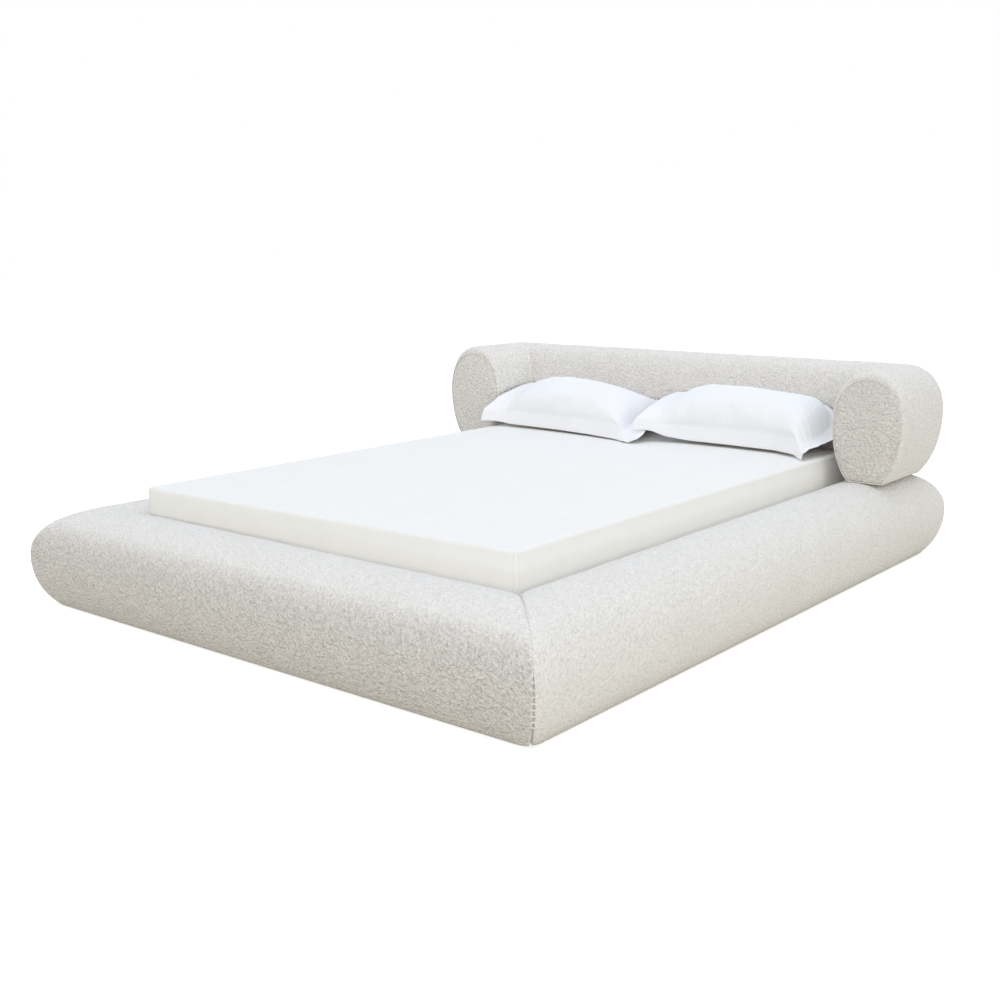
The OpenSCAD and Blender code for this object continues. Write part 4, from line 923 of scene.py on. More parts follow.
def sheet_folds(places, normals):
    """Depth of the sheet's folds at each point: soft upright puckers down the sides, and faint creases on
    top."""
    x, y, z = places.T
    on_side = np.abs(normals[:, 0])
    way_round = np.where(on_side > np.abs(normals[:, 1]), y, x)
    side = np.clip(1 - np.abs(normals[:, 2]) * 1.5, 0, 1)
    down = ramped(z, SHEET_HIGH.z, SHEET_LOW.z - SHEET_HIGH.z)
    # Puckers stand about 7 cm apart, and run nearly straight up
    key = np.column_stack([way_round * 14, z * 1.4, np.where(on_side > 0.5, 4.0, 9.0)])
    puckers = bumps(key, 1.0, 0.0) + 0.5 * bumps(key * 2.3, 1.0, 0.0)
    depth = side * bpy.context.scene.bed_bedding.pucker * puckers * (0.35 + 0.65 * np.sqrt(down))
    # Two sets of shallow diagonal creases meet in chevrons in front of the pillows
    crease = np.sin((y + 0.9 * np.abs(x + 0.25)) * 60)
    near = np.exp(-(((y - 0.45) / 0.32) ** 2) - ((x + 0.3) / 0.45) ** 2)
    uneven = bumps(places * np.array([1, 1, 0]), 4.0, 3.0)
    return depth + np.clip(normals[:, 2] * 2 - 1, 0, 1) * (0.0007 * crease * near + 0.0006 * uneven)


def dart_rows(low, high, sx, sy):
    """Rows across the dart at the corner that lies in the directions sx and sy."""
    corner = np.array([high.x if sx > 0 else low.x, high.y if sy > 0 else low.y])
    out = np.array([sx, sy]) / math.sqrt(2)
    along = np.array([-out[1], out[0]])
    line = [(0.0, z) for z in np.linspace(low.z + 0.02, high.z - EDGE_R, 26)]
    line += [(inset, high.z - down) for inset, down in quarter(8, EDGE_R, 0.15, 1.35)]
    rows = []
    for inset, z in line:
        middle = corner - out * (SHEET_CORNER_R * (math.sqrt(2) - 1) + inset)
        fade = min(1.0, (high.z - z) / 0.006 + 0.15)
        ring = [(a, q * fade) for a, q in DART] + [(a, DART_INSIDE) for a, _ in DART[::-1]]
        rows.append([(*(middle + along * a + out * q), z) for a, q in ring])
    return rows


class BED_OT_fitted_sheet(bpy.types.Operator):
    """Draw the fitted sheet over the mattress"""

    bl_idname = "bed.fitted_sheet"
    bl_label = "Fitted sheet"

    def corner_seams(self, low, high):
        """The sewn darts at the sheet's four corners, as one piece."""
        darts = [dart_rows(low, high, sx, sy) for sx, sy in ((1, -1), (1, 1), (-1, 1), (-1, -1))]
        n, count = 2 * len(DART), len(darts[0])
        starts = [k * n * count for k in range(len(darts))]
        faces = np.concatenate([ring_faces(count, n) + start for start in starts])
        caps = [range(start, start + n) for start in starts]
        caps += [range(start + (count - 1) * n, start + count * n) for start in starts]
        points = lean(np.array(darts).reshape(-1, 3))
        piece = mesh_piece("sheet_corner_seams", points, faces, SHEET_COTTON, caps)
        placed(piece, MATTRESS_BODY, "cotton_sheet")

    def execute(self, context):
        b = context.scene.bed_bedding
        low, high = SHEET_LOW + SHEET_INSET[0], SHEET_HIGH - SHEET_INSET[1]
        points, faces, _ = slab_grid(low, high, SHEET_CORNER_R, b.grid, b.hem_w)
        piece = mesh_piece("fitted_sheet_cloth", points, faces, SHEET_COTTON)
        places, normals = vertex_values(piece.data, "co"), vertex_values(piece.data, "normal")
        set_places(piece, lean(places + normals * sheet_folds(places, normals)[:, None]))
        solid = piece.modifiers.new("cloth", "SOLIDIFY")
        solid.thickness = b.cloth_t
        solid.offset = -1
        self.corner_seams(low, high)
        placed(piece, MATTRESS_BODY, "cotton_sheet", "fitted_sheet")
        return {"FINISHED"}


# Pillows

# From front to back of a pillow: how far each row lies along it. The last row in the flange is the third.
DEPTH = (0, 0.04, 0.111, 0.35, 0.6, 0.8, 1)
RUN = (0, 0.02, 0.055, 0.32, 0.58, 0.79, 1)
# Across a pillow, the places at which its fullness and its rise are given
SPREAD = (-1, -0.9, -0.7, -0.5, -0.25, 0, 0.25, 0.5, 0.7, 0.9, 1)

# Each pillow's own form. At the places across: how far its front edge is drawn back, and how high that edge
# stands over the sheet. At the rows of DEPTH: how high the body stands over the sheet behind the flange, and
# how high either end does. At the places of SPREAD: how much of its fullness and of its rise is left. Then
# how far the right front corner is drawn in, and how far its flap lies out over the sheet.
PILLOW_FORMS = {
    "left": {
        "across": (-1, -0.8, -0.45, 0, 0.4, 0.8, 1),
        "front_back": (-0.012, 0.055, 0.062, 0.055, 0.04, 0.012, -0.026),
        "front_up": (0.028, 0.012, 0.009, 0.008, 0.006, 0.003, 0.002),
        "body_up": (0.07, 0.096, 0.12, 0.138, 0.158),
        "left_up": (0.024, 0.048, 0.076, 0.12, 0.144, 0.157, 0.163),
        "right_up": (0.002, 0.008, 0.02, 0.062, 0.098, 0.118, 0.135),
        "full": (0, 0.24, 0.67, 0.91, 0.99, 0.98, 0.9, 0.78, 0.62, 0.36, 0),
        "rise": (1.04, 1.04, 1.03, 1.01, 0.99, 0.97, 0.94, 0.88, 0.83, 0.83, 0.85),
        "front_in": 0.0,
        "flap": 0.048,
        "seed": 4.0,
    },
    "right": {
        "across": (-1, -0.85, -0.5, 0, 0.5, 0.8, 1),
        "front_back": (0.012, 0.075, 0.112, 0.12, 0.112, 0.07, 0.002),
        "front_up": (0.05, 0.03, 0.012, 0.01, 0.009, 0.009, 0.002),
        "body_up": (0.074, 0.106, 0.134, 0.156, 0.178),
        "left_up": (0.05, 0.074, 0.098, 0.134, 0.155, 0.167, 0.173),
        "right_up": (0.002, 0.03, 0.034, 0.041, 0.052, 0.072, 0.105),
        "full": (0, 0.27, 0.73, 0.97, 1, 0.99, 0.96, 0.9, 0.83, 0.66, 0),
        "rise": (1.0, 1.0, 1.0, 0.99, 0.99, 1, 0.98, 0.96, 0.95, 0.94, 0.95),
        "front_in": 0.034,
        "flap": 0.0,
        "seed": 9.0,
    },
}

FLANGE_DEPTH = DEPTH[2]
FILL_COLUMNS, FILL_ROWS, FLANGE_STEPS = 105, 61, 7
# How far the filling is blown up before and during the simulation
FILL_SHARE, FURTHEST = 0.9, 0.016
INSERT_GAP = 0.004
CLOTH = {
    "quality": 5, "mass": 0.2, "tension_stiffness": 15, "compression_stiffness": 15, "shear_stiffness": 5,
    "bending_stiffness": 5, "shrink_min": -0.012, "use_pressure": True, "uniform_pressure_force": 4,
    "vertex_group_mass": "seam",
}
CLOTH_FRAMES = 20


class PillowShape:
    """The form of one dressed pillow: its middle surface, and how far its filling stands out from that. Places
    on it go from -1 to 1 across in u, and from front to back in v."""

    def __init__(self, side):
        b = bpy.context.scene.bed_bedding
        low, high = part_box(f"{side}_pillowcase")
        self.form = PILLOW_FORMS[side]
        self.x0, self.half_w = (low.x + high.x) / 2, (high.x - low.x) / 2 + b.pillow_ease
        self.front, self.back = low.y, high.y
        self.floor = SHEET_HIGH.z + FIT
        self.fill_u = 1 - b.flange_w / self.half_w
        self.fill_v = 1 - 2 * FLANGE_DEPTH
        self.thick = b.pillow_t / 2

    def middle(self, u, v):
        """The middle surface, on which the flange lies."""
        form, s = self.form, (v + 1) / 2
        front_y = self.front + np.interp(u, form["across"], form["front_back"])
        front_z = np.interp(u, form["across"], form["front_up"])
        in_flange = front_z + (form["body_up"][0] - front_z) * np.clip(s / FLANGE_DEPTH, 0, 1) ** 0.8
        body = np.where(s < FLANGE_DEPTH, in_flange, np.interp(s, DEPTH[2:], form["body_up"]))
        body = body * (1 + (np.interp(u, SPREAD, form["rise"]) - 1) * s)
        ends = np.where(u < 0, np.interp(s, DEPTH, form["left_up"]), np.interp(s, DEPTH, form["right_up"]))
        near = eased((np.abs(u) - 0.7) / 0.3)
        height = body * (1 - near) + ends * near
        y = front_y + (self.back - front_y) * np.interp(s, DEPTH, RUN)
        # The sides are drawn in a little in the middle of their run, and the right front corner in its own way
        drawn = 1 - 0.02 * (1 - np.abs(v) ** 2.5)
        tapered = form["front_in"] * np.clip(u, 0, 1) ** 3 * (1 - s) ** 2
        flap = form["flap"] * ramped(u, self.fill_u, 1 - self.fill_u)
        flap = flap * eased((s + 0.03) / 0.14) * eased((0.5 - s) / 0.3)
        return np.stack([self.x0 + u * drawn * self.half_w - tapered + flap, y, self.floor + height], -1)

    def normal(self, v):
        """The way that the filling stands out from the middle surface."""
        s = np.maximum((v + 1) / 2, 0.125)
        rise = self.form["body_up"][-1] - self.form["body_up"][0]
        # The filling bulges forward over the flange's seam in front
        slope = np.arctan(rise / (self.back - self.front)) + 0.6 * np.clip(1 - (s - 0.125) / 0.3, 0, 1) ** 2
        return np.stack([np.zeros_like(slope), -np.sin(slope), np.cos(slope)], -1)

    def half(self, u, v):
        """Half the filling's thickness."""
        across = np.interp(u / self.fill_u, SPREAD, self.form["full"])
        along = np.maximum(0, 1 - (np.abs(v) / self.fill_v) ** 3)
        return 0.001 + (self.thick - 0.003) * across * np.sqrt(along)

    def held(self, p, over=0.0):
        """The same points, kept in front of the headboard and above the sheet."""
        p = p.copy()
        p[..., 1] = np.minimum(p[..., 1], self.back - over)
        p[..., 2] = np.maximum(p[..., 2], self.floor + over)
        return p


def grid_rim(m, n):
    number = np.arange(m * n).reshape(m, n)
    return np.r_[number[0, :], number[1:, -1], number[-1, -2::-1], number[-2:0:-1, 0]]


def quilted(name, upper, lower, material):
    """A closed form between an upper and a lower sheet of points, each a grid."""
    m, n = upper.shape[:2]
    number = np.arange(m * n).reshape(m, n)
    corners = number[:-1, :-1], number[1:, :-1], number[1:, 1:], number[:-1, 1:]
    a, b, c, d = (part.ravel() for part in corners)
    rim = grid_rim(m, n)
    after = np.roll(rim, -1)
    faces = [np.stack([a, b, c, d], 1), np.stack([a, d, c, b], 1) + m * n,
             np.stack([rim, after, after + m * n, rim + m * n], 1)]
    points = np.concatenate([upper.reshape(-1, 3), lower.reshape(-1, 3)])
    return mesh_piece(name, points, np.concatenate(faces), material)


def crowded(count, edge):
    """Places from minus the edge up to it, closer together near both."""
    a = np.linspace(-1, 1, count)
    return edge * np.sign(a) * (1 - (1 - np.abs(a)) ** 1.3)


def plumped(upper, lower):
    """Blows a case up like its filling, with its seam held, and gives back both sheets of points. The blowing up
    is a cloth simulation, and no point moves more than the furthest allowed."""
    m, n = upper.shape[:2]
    piece = quilted("case_in_the_making", upper, lower, SHEET_COTTON)
    rim = grid_rim(m, n)
    piece.vertex_groups.new(name="seam").add([int(i) for i in np.r_[rim, rim + m * n]], 1.0, "REPLACE")
    cloth = piece.modifiers.new("cloth", "CLOTH")
    for key, value in CLOTH.items():
        setattr(cloth.settings, key, value)
    cloth.settings.effector_weights.gravity = 0
    cloth.collision_settings.use_collision = False
    scene = bpy.context.scene
    for number in range(1, CLOTH_FRAMES + 1):
        scene.frame_set(number)
    after = vertex_values(piece.evaluated_get(bpy.context.evaluated_depsgraph_get()).data, "co")
    before = vertex_values(piece.data, "co")
    bpy.data.objects.remove(piece)
    scene.frame_set(1)
    moved = after - before
    length = np.linalg.norm(moved, axis=1)
    moved *= np.minimum(1, FURTHEST / np.maximum(length, 1e-9))[:, None]
    # Pressed cotton keeps only its broader wrinkles
    moved = moved.reshape(2, m, n, 3)
    for _ in range(3):
        inner = moved[:, 1:-1, 1:-1]
        beside = moved[:, :-2, 1:-1] + moved[:, 2:, 1:-1] + moved[:, 1:-1, :-2] + moved[:, 1:-1, 2:]
        inner += 0.5 * (beside / 4 - inner)
    return before.reshape(2, m, n, 3) + moved


def tucked(shape, sheet, u, v):
    """Folds the right pillow's end by the return into upright folds, behind its front corner."""
    s = (v + 1) / 2
    tuck = ramped(u / shape.fill_u, 0.72, 0.2) * np.clip(s / 0.15, 0, 1) * ramped(s, 0.75, -0.35)
    fold = 0.0055 * np.sin(s * 70 + 2 * u) * tuck
    sheet[..., 0] += fold
    sheet[..., 1] += 0.5 * fold


def flange_sheets(shape, u, v):
    """The flange's two layers over the whole pillow, with soft waves that grow towards its edge."""
    middle, seed = shape.middle(u, v), shape.form["seed"]
    flat = np.cross(np.gradient(middle, axis=0), np.gradient(middle, axis=1))
    flat /= np.linalg.norm(flat, axis=-1)[..., None]
    past_u = (np.abs(u) - shape.fill_u) / (1 - shape.fill_u)
    past_v = (np.abs(v) - shape.fill_v) / (1 - shape.fill_v)
    past = np.clip(np.maximum(past_u, past_v), 0, 1)
    # The flange hangs in tight folds at the right end, and lies almost flat elsewhere
    loose = (past_u > 0) & (u > 0)
    key = np.stack([middle[..., 0] * 9, middle[..., 1] * np.where(loose, 26, 9), np.full(u.shape, seed)], -1)
    wave = bumps(key.reshape(-1, 3), 1.0, seed).reshape(u.shape)
    middle = middle + flat * (past**1.3 * wave * np.where(loose, 0.008, 0.004))[..., None]
    half_t = bpy.context.scene.bed_bedding.flange_t / 2
    return middle + flat * half_t, middle - flat * half_t


def make_pillow(side):
    shape = PillowShape(side)
    fill_u, fill_v = crowded(FILL_COLUMNS, shape.fill_u), crowded(FILL_ROWS, shape.fill_v)
    u, v = np.meshgrid(fill_u, fill_v, indexing="ij")
    middle, out = shape.middle(u, v), shape.normal(v) * (shape.half(u, v) * FILL_SHARE)[..., None]
    upper, lower = plumped(shape.held(middle + out), shape.held(middle - out))
    if side == "right":
        tucked(shape, upper, u, v)
    upper, lower = shape.held(upper), shape.held(lower)
    # The flange goes on round the filling
    share_out = np.linspace(0, 1, FLANGE_STEPS)[:-1]
    steps_u, steps_v = (
        np.r_[-1 + (1 - edge) * share_out, fill, (1 - (1 - edge) * share_out)[::-1]]
        for fill, edge in ((fill_u, shape.fill_u), (fill_v, shape.fill_v)))
    top, bottom = flange_sheets(shape, *np.meshgrid(steps_u, steps_v, indexing="ij"))
    k = len(share_out)
    top[k:-k, k:-k], bottom[k:-k, k:-k] = upper, lower
    top, bottom = shape.held(top, 0.0002), shape.held(bottom)
    top[..., 2] = np.maximum(top[..., 2], bottom[..., 2] + 0.0008)
    case = quilted(f"{side}_pillowcase_cloth", top, bottom, CASE_COTTON)
    smooth = case.modifiers.new("smooth", "SUBSURF")
    smooth.levels = smooth.render_levels = 1
    # The insert fills the case to within a small gap
    apart = upper - lower
    thick = np.linalg.norm(apart, axis=-1)[..., None]
    inward = apart * np.minimum(INSERT_GAP / np.maximum(thick, 1e-6), 0.4)
    insert = quilted(f"{side}_pillow_insert", upper - inward, lower + inward, TICKING)
    placed(case, f"{side}_dressed_pillow", "cotton_pillowcase", f"{side}_pillowcase")
    placed(insert, f"{side}_dressed_pillow", "pillow_ticking", f"{side}_pillow")


class BED_OT_pillows(bpy.types.Operator):
    """Fill and dress the two pillows"""

    bl_idname = "bed.pillows"
    bl_label = "Pillows"

    def execute(self, context):
        for side in SIDES:
            make_pillow(side)
        return {"FINISHED"}


# Timber, steel and small parts

# The finish of each solid that is shown as it is
SOLIDS = {
    PINE_ACROSS: ("foot_rail_timber", "head_rail_timber"),
    PINE_ALONG: ("left_rail_timber", "right_rail_timber", "left_slat_ledge", "right_slat_ledge",
                 "centre_beam"),
    PINE_TURNED: ("front_centre_leg", "rear_centre_leg"),
    PLYWOOD: ("headboard_back_frame", "left_arm_frame", "right_arm_frame"),
    STEEL: ("corner_plates", "beam_hangers", "headboard_posts"),
    ZINC: ("corner_bolts", "corner_nuts", "ledge_screws", "hanger_screws", "headboard_bolts",
           "headboard_nuts", "front_levelling_stem", "rear_levelling_stem"),
    NYLON: ("rail_glides", "front_levelling_pad", "rear_levelling_pad"),
}


class BED_OT_inner_parts(bpy.types.Operator):
    """Finish the timber, steel and small parts inside the bed"""

    bl_idname = "bed.inner_parts"
    bl_label = "Inner parts"

    def execute(self, context):
        for material, names in SOLIDS.items():
            for name in names:
                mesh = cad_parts[name].data
                mesh.materials.clear()
                mesh.materials.append(finish(material))
        return {"FINISHED"}


def geometry_tree(name, inputs):
    """A geometry tree with named inputs, each given as its kind of socket and its default."""
    tree = bpy.data.node_groups.new(name, "GeometryNodeTree")
    tree.interface.new_socket("Geometry", in_out="OUTPUT", socket_type="NodeSocketGeometry")
    for key, (kind, default) in inputs.items():
        socket = tree.interface.new_socket(key, in_out="INPUT", socket_type=f"NodeSocket{kind}")
        if default is not None:
            socket.default_value = default
    return tree, add(tree, "NodeGroupInput").outputs


def repeated(tree, part, points, material, **turned):
    """Ends a geometry tree: the part is laid at each point, made real and given its material."""
    laid = add(tree, "GeometryNodeInstanceOnPoints",
               {"Points": points, "Instance": part, **turned}).outputs[0]
    real = add(tree, "GeometryNodeRealizeInstances", {"Geometry": laid}).outputs[0]
    done = add(tree, "GeometryNodeSetMaterial", {"Geometry": real, "Material": material}).outputs[0]
    add(tree, "NodeGroupOutput", {"Geometry": done})
    return tree


def bar(tree, start, end, outline):
    """A straight bar between two places, each given as its sockets or values along the axes."""
    ends = [add(tree, "ShaderNodeCombineXYZ", place).outputs[0] for place in (start, end)]
    path = add(tree, "GeometryNodeCurvePrimitiveLine", {"Start": ends[0], "End": ends[1]}).outputs[0]
    return add(tree, "GeometryNodeCurveToMesh",
               {"Curve": path, "Profile Curve": outline, "Fill Caps": True}).outputs[0]


def both_ends(tree, length):
    """Minus half a length, and half of it."""
    half = add(tree, "ShaderNodeMath", {0: length, 1: 0.5}, operation="MULTIPLY").outputs[0]
    return add(tree, "ShaderNodeMath", {0: half, 1: -1.0}, operation="MULTIPLY").outputs[0], half


def slat_tree():
    """Slats laid in a row: a board with planed edges, repeated along Y."""
    tree, given = geometry_tree("slats", {
        "Length": ("Float", 1.5), "Width": ("Float", 0.07), "Thickness": ("Float", 0.018),
        "First": ("Float", 0.0), "Step": ("Float", 0.15), "Height": ("Float", 0.141),
        "Count": ("Int", 13), "Material": ("Material", None)})
    first = add(tree, "ShaderNodeCombineXYZ", {"Y": given["First"], "Z": given["Height"]}).outputs[0]
    offset = add(tree, "ShaderNodeCombineXYZ", {"Y": given["Step"]}).outputs[0]
    row = add(tree, "GeometryNodeMeshLine",
              {"Count": given["Count"], "Start Location": first, "Offset": offset}, mode="OFFSET").outputs[0]
    # The section is a flat oblong with its four edges rounded, drawn along the slat
    oblong = add(tree, "GeometryNodeCurvePrimitiveQuadrilateral",
                 {"Width": given["Width"], "Height": given["Thickness"]}, mode="RECTANGLE").outputs[0]
    rounded = add(tree, "GeometryNodeFilletCurve",
                  {"Curve": oblong, "Radius": 0.002, "Count": 2}, mode="POLY")
    less, half = both_ends(tree, given["Length"])
    board = bar(tree, {"X": less}, {"X": half}, rounded.outputs[0])
    return repeated(tree, board, row, given["Material"])


def stitch_tree():
    """Ladder stitches along a path: a short bar of thread at every step, laid across the seam."""
    tree, given = geometry_tree("ladder_stitches", {
        "Geometry": ("Geometry", None), "Step": ("Float", 0.016), "Length": ("Float", 0.013),
        "Thread": ("Float", 0.0016), "Slant": ("Float", 0.25), "Across": ("Vector", (1, 0, 0)),
        "Material": ("Material", None)})
    path = add(tree, "GeometryNodeMeshToCurve", {"Mesh": given["Geometry"]}).outputs[0]
    places = add(tree, "GeometryNodeResampleCurve", {"Curve": path, "Length": given["Step"]}, mode="LENGTH")
    less, half = both_ends(tree, given["Length"])
    tilt = add(tree, "ShaderNodeMath", {0: half, 1: given["Slant"]}, operation="MULTIPLY").outputs[0]
    thread = add(tree, "GeometryNodeCurvePrimitiveCircle", {"Resolution": 6, "Radius": given["Thread"]})
    stitch = bar(tree, {"Z": less}, {"X": tilt, "Z": half}, thread.outputs[0])
    turned = add(tree, "FunctionNodeAlignRotationToVector", {"Vector": given["Across"]}, axis="Z").outputs[0]
    return repeated(tree, stitch, places.outputs[0], given["Material"], Rotation=turned)


def grown(name, tree, values, path=()):
    """Runs a geometry tree with its inputs set, on a path of points where it needs one, and keeps a plain
    mesh."""
    line = bpy.data.meshes.new(f"{name}_path")
    line.from_pydata(flat_tuples(path, float), [(i, i + 1) for i in range(len(path) - 1)], [])
    source = bpy.data.objects.new(f"{name}_source", line)
    bpy.context.scene.collection.objects.link(source)
    run = source.modifiers.new("grow", "NODES")
    run.node_group = tree
    sockets = {item.name: item.identifier for item in tree.interface.items_tree if item.in_out == "INPUT"}
    for key, value in values.items():
        run[sockets[key]] = value
    seen = source.evaluated_get(bpy.context.evaluated_depsgraph_get())
    mesh = bpy.data.meshes.new_from_object(seen)
    mesh.name = name
    piece = bpy.data.objects.new(name, mesh)
    bpy.context.scene.collection.objects.link(piece)
    bpy.data.objects.remove(source)
    work = bmesh.new()
    work.from_mesh(mesh)
    bmesh.ops.remove_doubles(work, verts=work.verts, dist=1e-6)
    bmesh.ops.recalc_face_normals(work, faces=work.faces)
    work.to_mesh(mesh)
    work.free()
    return piece


# A welt: half its width, its thickness, and how deep it lies in the seam at the well, high up and low down
WELT_HALF_W, WELT_T = 0.0045, 0.0016
WELT_WELL_DEPTH, WELT_HIGH_DEPTH, WELT_LOW_DEPTH = 0.004, 0.0036, 0.0105
# The well's part of a seam is this wide, and its high part starts at this height
WELT_WELL_W, WELT_HIGH_Z = 0.02, 0.22
# A height inside each rail
RAIL_INSIDE_Z = 0.15
# The stitches run down the outside of a seam, between these heights and within this distance of the outside.
# They lie this far in from the covers' outside.
STITCH_LOW_Z, STITCH_HIGH_Z, STITCH_BAND, STITCH_DEPTH = 0.075, 0.215, 0.06, 0.005


def seam_welt(name, places, inward, depth, across):
    """A narrow strip of the cover's cloth, turned in along a corner seam so that the seam has a floor."""
    top = places + inward * depth[:, None]
    low = top + inward * WELT_T
    a = np.array(across) * WELT_HALF_W
    rows = np.stack([top - a, top - a * 0.4, top + a * 0.4, top + a, low + a, low - a], 1)
    placed(lofted(name, rows, BOUCLE), FRAME_BODY, "boucle")


class BED_OT_seam_stitches(bpy.types.Operator):
    """Line the rails' corner seams, and sew the ladder stitches that close them by hand"""

    bl_idname = "bed.seam_stitches"
    bl_label = "Seam stitches"

    def execute(self, context):
        r = context.scene.bed_rails
        tree = stitch_tree()
        half, near, far = well_size()
        mid = rail_middle()
        for end, sy, well_y, width in (("foot", -1, near, r.foot_w), ("head", 1, far, r.head_w)):
            skin = resampled(rail_skin(width), 90)[2:-1]
            inward = inward_from(skin, (width / 2, RAIL_INSIDE_Z))
            skew = r.side_w / width
            out, z = skin.T
            depth = np.where(z > WELT_HIGH_Z, WELT_HIGH_DEPTH, WELT_LOW_DEPTH)
            depth = np.where(out < WELT_WELL_W, WELT_WELL_DEPTH, depth)
            sewn = (out > width - STITCH_BAND) & (z > STITCH_LOW_Z) & (z < STITCH_HIGH_Z)
            for side, sx in zip(SIDES, (-1, 1)):

                def on_seam(out, z):
                    """Points on this corner's mitre, at a distance out from the well."""
                    return np.stack([sx * (half + out * skew), well_y + sy * out, z], 1)

                drawn = on_seam(out, mid + (z - mid) * r.pinch)
                into = np.stack([sx * skew * inward[:, 0], sy * inward[:, 0], inward[:, 1]], 1)
                across = Vector((1, -sx * sy * skew, 0)).normalized()
                seam_welt(f"{end}_{side}_seam_welt", drawn, into, depth, across)
                path = on_seam(out[sewn] - STITCH_DEPTH, z[sewn])
                values = {"Across": across, "Material": finish(THREAD)}
                placed(grown(f"{end}_{side}_seam_stitches", tree, values, path), FRAME_BODY, "boucle_piping")
        return {"FINISHED"}


# A tape sags between two slats by this much, over the share of a step that follows a slat
TAPE_SLACK, SLAT_SHARE, TAPE_ROWS = 0.0012, 0.45, 120


class BED_OT_slats(bpy.types.Operator):
    """Lay the slats and the tapes that space them"""

    bl_idname = "bed.slats"
    bl_label = "Slats"

    def execute(self, context):
        names = sorted((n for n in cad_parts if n.startswith("slat_")), key=lambda n: int(n[5:]))
        low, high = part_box(names[0])
        step = (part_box(names[-1])[0].y - low.y) / (len(names) - 1)
        slats = grown("slat_row", slat_tree(), {
            "Length": high.x - low.x, "Width": high.y - low.y, "Thickness": high.z - low.z,
            "First": (low.y + high.y) / 2, "Step": step, "Height": (low.z + high.z) / 2,
            "Count": len(names), "Material": finish(PINE_SLATS)})
        placed(slats, FRAME_BODY, "pine_slats", *names)
        for side in SIDES:
            a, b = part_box(f"{side}_slat_tape")
            rows = []
            for y in np.linspace(a.y, b.y, TAPE_ROWS):
                way = ((y - low.y) % step / step - SLAT_SHARE) / (1 - SLAT_SHARE)
                slack = TAPE_SLACK * math.sin(math.pi * way) if way > 0 else 0.0
                ring = [(a.x, b.z), (b.x, b.z), (b.x, a.z), (a.x, a.z)]
                rows.append([(x, y, z - slack) for x, z in ring])
            tape = lofted(f"{side}_slat_webbing", rows, WEBBING)
            placed(tape, FRAME_BODY, "cotton_tape", f"{side}_slat_tape")
        return {"FINISHED"}


# Stage

FLOOR_HALF = 40
# The lamps look at this place. Each has its place, its width, its power in watts and its tint.
LAMPS_AIM = (0, 0, 0.3)
LAMPS = {
    "right_softbox": ((6.5, -0.5, 2.0), 3.5, 40.0, "#FFF9F5"),
    "front_softbox": ((-1.0, -6.5, 3.0), 4.0, 46.0, "#FFF7F0"),
    "fill_softbox": ((4.2, -5.4, 2.2), 3.5, 58.0, "#FFF8F3"),
    "top_softbox": ((0.0, 0.5, 6.0), 5.0, 72.0, "#FFFBF6"),
    "back_softbox": ((0.0, 6.0, 5.0), 4.0, 30.0, "#FFFBF6"),
}
# The photograph's camera: its place, its lens, and how far it is turned left, tilted down and rolled
CAMERA_PLACE = (2.765, -3.5145, 1.195)
CAMERA_LENS, CAMERA_SENSOR = 45.547, 36.0
CAMERA_TURN, CAMERA_TILT, CAMERA_ROLL = 0.6831, 0.2009, -0.0051
# Light from the horizon is a little warm, from above a little cool, and none comes from below
SKY = [(0.0, (0.0, 0.0, 0.0)), (0.1, (0.70, 0.68, 0.58)), (0.35, (0.70, 0.68, 0.58)),
       (0.6, (0.55, 0.615, 0.74))]


def soft_world():
    world = bpy.data.worlds.new("soft_studio")
    world.use_nodes = True
    tree = world.node_tree
    tree.nodes.clear()
    way = add(tree, "ShaderNodeTexCoord").outputs["Generated"]
    up = add(tree, "ShaderNodeSeparateXYZ", {"Vector": way}).outputs["Z"]
    sky = add(tree, "ShaderNodeValToRGB", {"Fac": up}, SKY).outputs["Color"]
    soft = add(tree, "ShaderNodeBackground", {"Color": sky, "Strength": 1.25}).outputs[0]
    white = add(tree, "ShaderNodeBackground", {"Color": (1, 1, 1, 1), "Strength": 1.0}).outputs[0]
    mixed = add(tree, "ShaderNodeMixShader", {0: seen_directly(tree), 1: soft, 2: white}).outputs[0]
    add(tree, "ShaderNodeOutputWorld", {"Surface": mixed})
    return world


def stand(name, data, matrix):
    """Puts a lamp or a camera in the scene."""
    holder = bpy.data.objects.new(name, data)
    holder.matrix_world = matrix
    bpy.context.scene.collection.objects.link(holder)
    return holder


def camera_matrix():
    tilted, level = math.sin(CAMERA_TILT), math.cos(CAMERA_TILT)
    ahead = Vector((-math.sin(CAMERA_TURN) * level, math.cos(CAMERA_TURN) * level, -tilted))
    right = Vector((math.cos(CAMERA_TURN), math.sin(CAMERA_TURN), 0))
    above = right.cross(ahead)
    across = right * math.cos(CAMERA_ROLL) + above * math.sin(CAMERA_ROLL)
    upward = above * math.cos(CAMERA_ROLL) - right * math.sin(CAMERA_ROLL)
    return Matrix.Translation(CAMERA_PLACE) @ Matrix((across, upward, -ahead)).transposed().to_4x4()


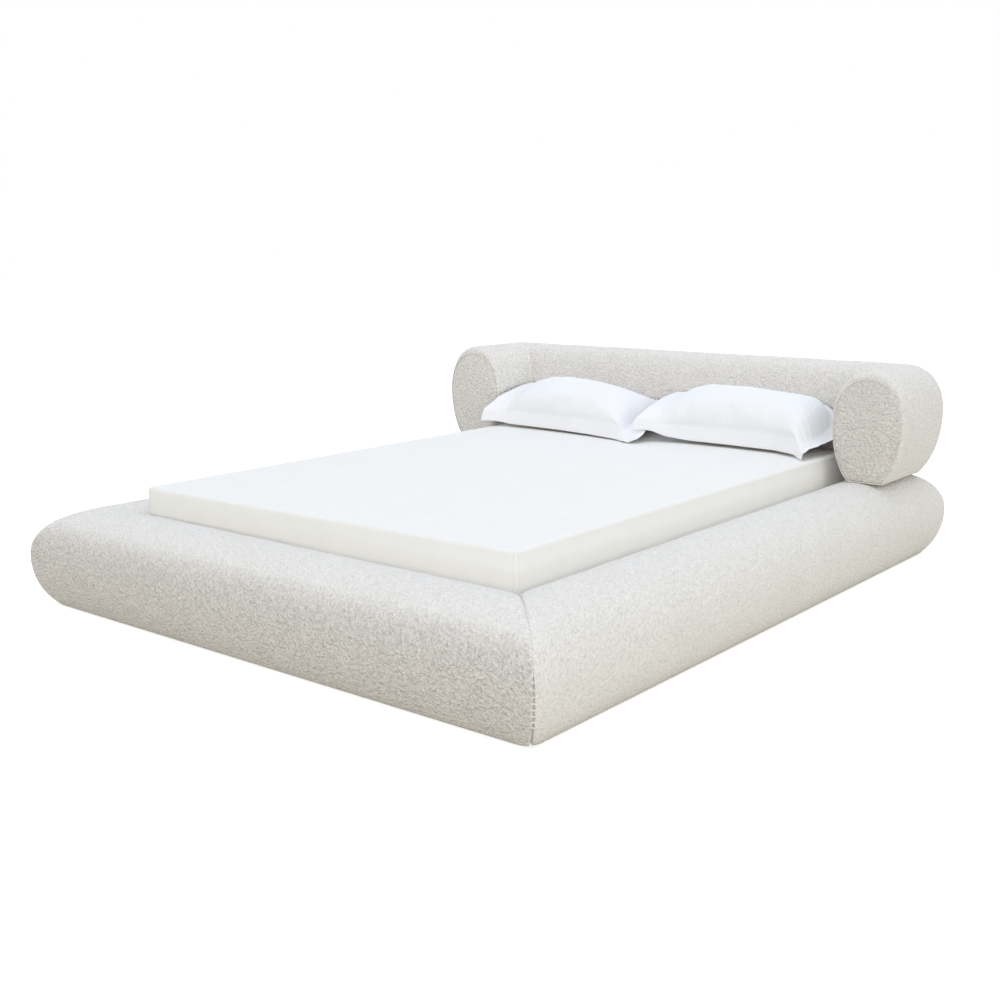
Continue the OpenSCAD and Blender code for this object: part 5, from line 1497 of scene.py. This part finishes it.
class BED_OT_stage(bpy.types.Operator):
    """Set up the floor, the soft light and the camera"""

    bl_idname = "bed.stage"
    bl_label = "Stage"

    def execute(self, context):
        scene = context.scene
        corners = [(x * FLOOR_HALF, y * FLOOR_HALF, 0) for x, y in ((-1, -1), (1, -1), (1, 1), (-1, 1))]
        mesh_piece("floor", corners, [(0, 1, 2, 3)], FLOOR_PAINT)
        scene.world = soft_world()
        for name, (place, width, power, tint) in LAMPS.items():
            lamp = bpy.data.lights.new(name, "AREA")
            lamp.shape = "SQUARE"
            lamp.size = width
            lamp.energy = power
            lamp.color = linear(tint)
            aim = (Vector(LAMPS_AIM) - Vector(place)).to_track_quat("-Z", "Y")
            stand(name, lamp, Matrix.Translation(place) @ aim.to_matrix().to_4x4())
        camera = bpy.data.cameras.new("camera")
        camera.sensor_width = CAMERA_SENSOR
        camera.lens = CAMERA_LENS
        camera.clip_end = 200.0
        scene.camera = stand("camera", camera, camera_matrix())
        scene.view_settings.view_transform = "Standard"
        return {"FINISHED"}


STEPS = (BED_OT_stage, BED_OT_rail_covers, BED_OT_seam_stitches, BED_OT_headboard, BED_OT_mattress,
         BED_OT_fitted_sheet, BED_OT_pillows, BED_OT_inner_parts, BED_OT_slats)
GROUPS = (("bed_rails", RailSizes), ("bed_head", HeadboardSizes), ("bed_bedding", BeddingSizes),
          ("bed_finish", FinishColours))


class BED_PT_panel(bpy.types.Panel):
    """Lists the bed's sizes, colours and building steps"""

    bl_label = "Bolster bed"
    bl_idname = "BED_PT_panel"
    bl_space_type = "VIEW_3D"
    bl_region_type = "UI"
    bl_category = "Bolster bed"

    def draw(self, context):
        for name, group in GROUPS:
            box = self.layout.box()
            box.label(text=group.__doc__)
            for key in group.__annotations__:
                box.prop(getattr(context.scene, name), key)
        for step in STEPS:
            self.layout.operator(step.bl_idname)


def register():
    for name, group in GROUPS:
        bpy.utils.register_class(group)
        setattr(bpy.types.Scene, name, PointerProperty(type=group))
    for step in STEPS:
        bpy.utils.register_class(step)
    bpy.utils.register_class(BED_PT_panel)


def unregister():
    bpy.utils.unregister_class(BED_PT_panel)
    for step in reversed(STEPS):
        bpy.utils.unregister_class(step)
    for name, group in reversed(GROUPS):
        delattr(bpy.types.Scene, name)
        bpy.utils.unregister_class(group)


def main():
    register()
    bpy.ops.bed.stage()
    bpy.ops.bed.rail_covers()
    bpy.ops.bed.seam_stitches()
    bpy.ops.bed.headboard()
    bpy.ops.bed.mattress()
    bpy.ops.bed.fitted_sheet()
    bpy.ops.bed.pillows()
    bpy.ops.bed.inner_parts()
    bpy.ops.bed.slats()


if __name__ == "__main__":
    main()
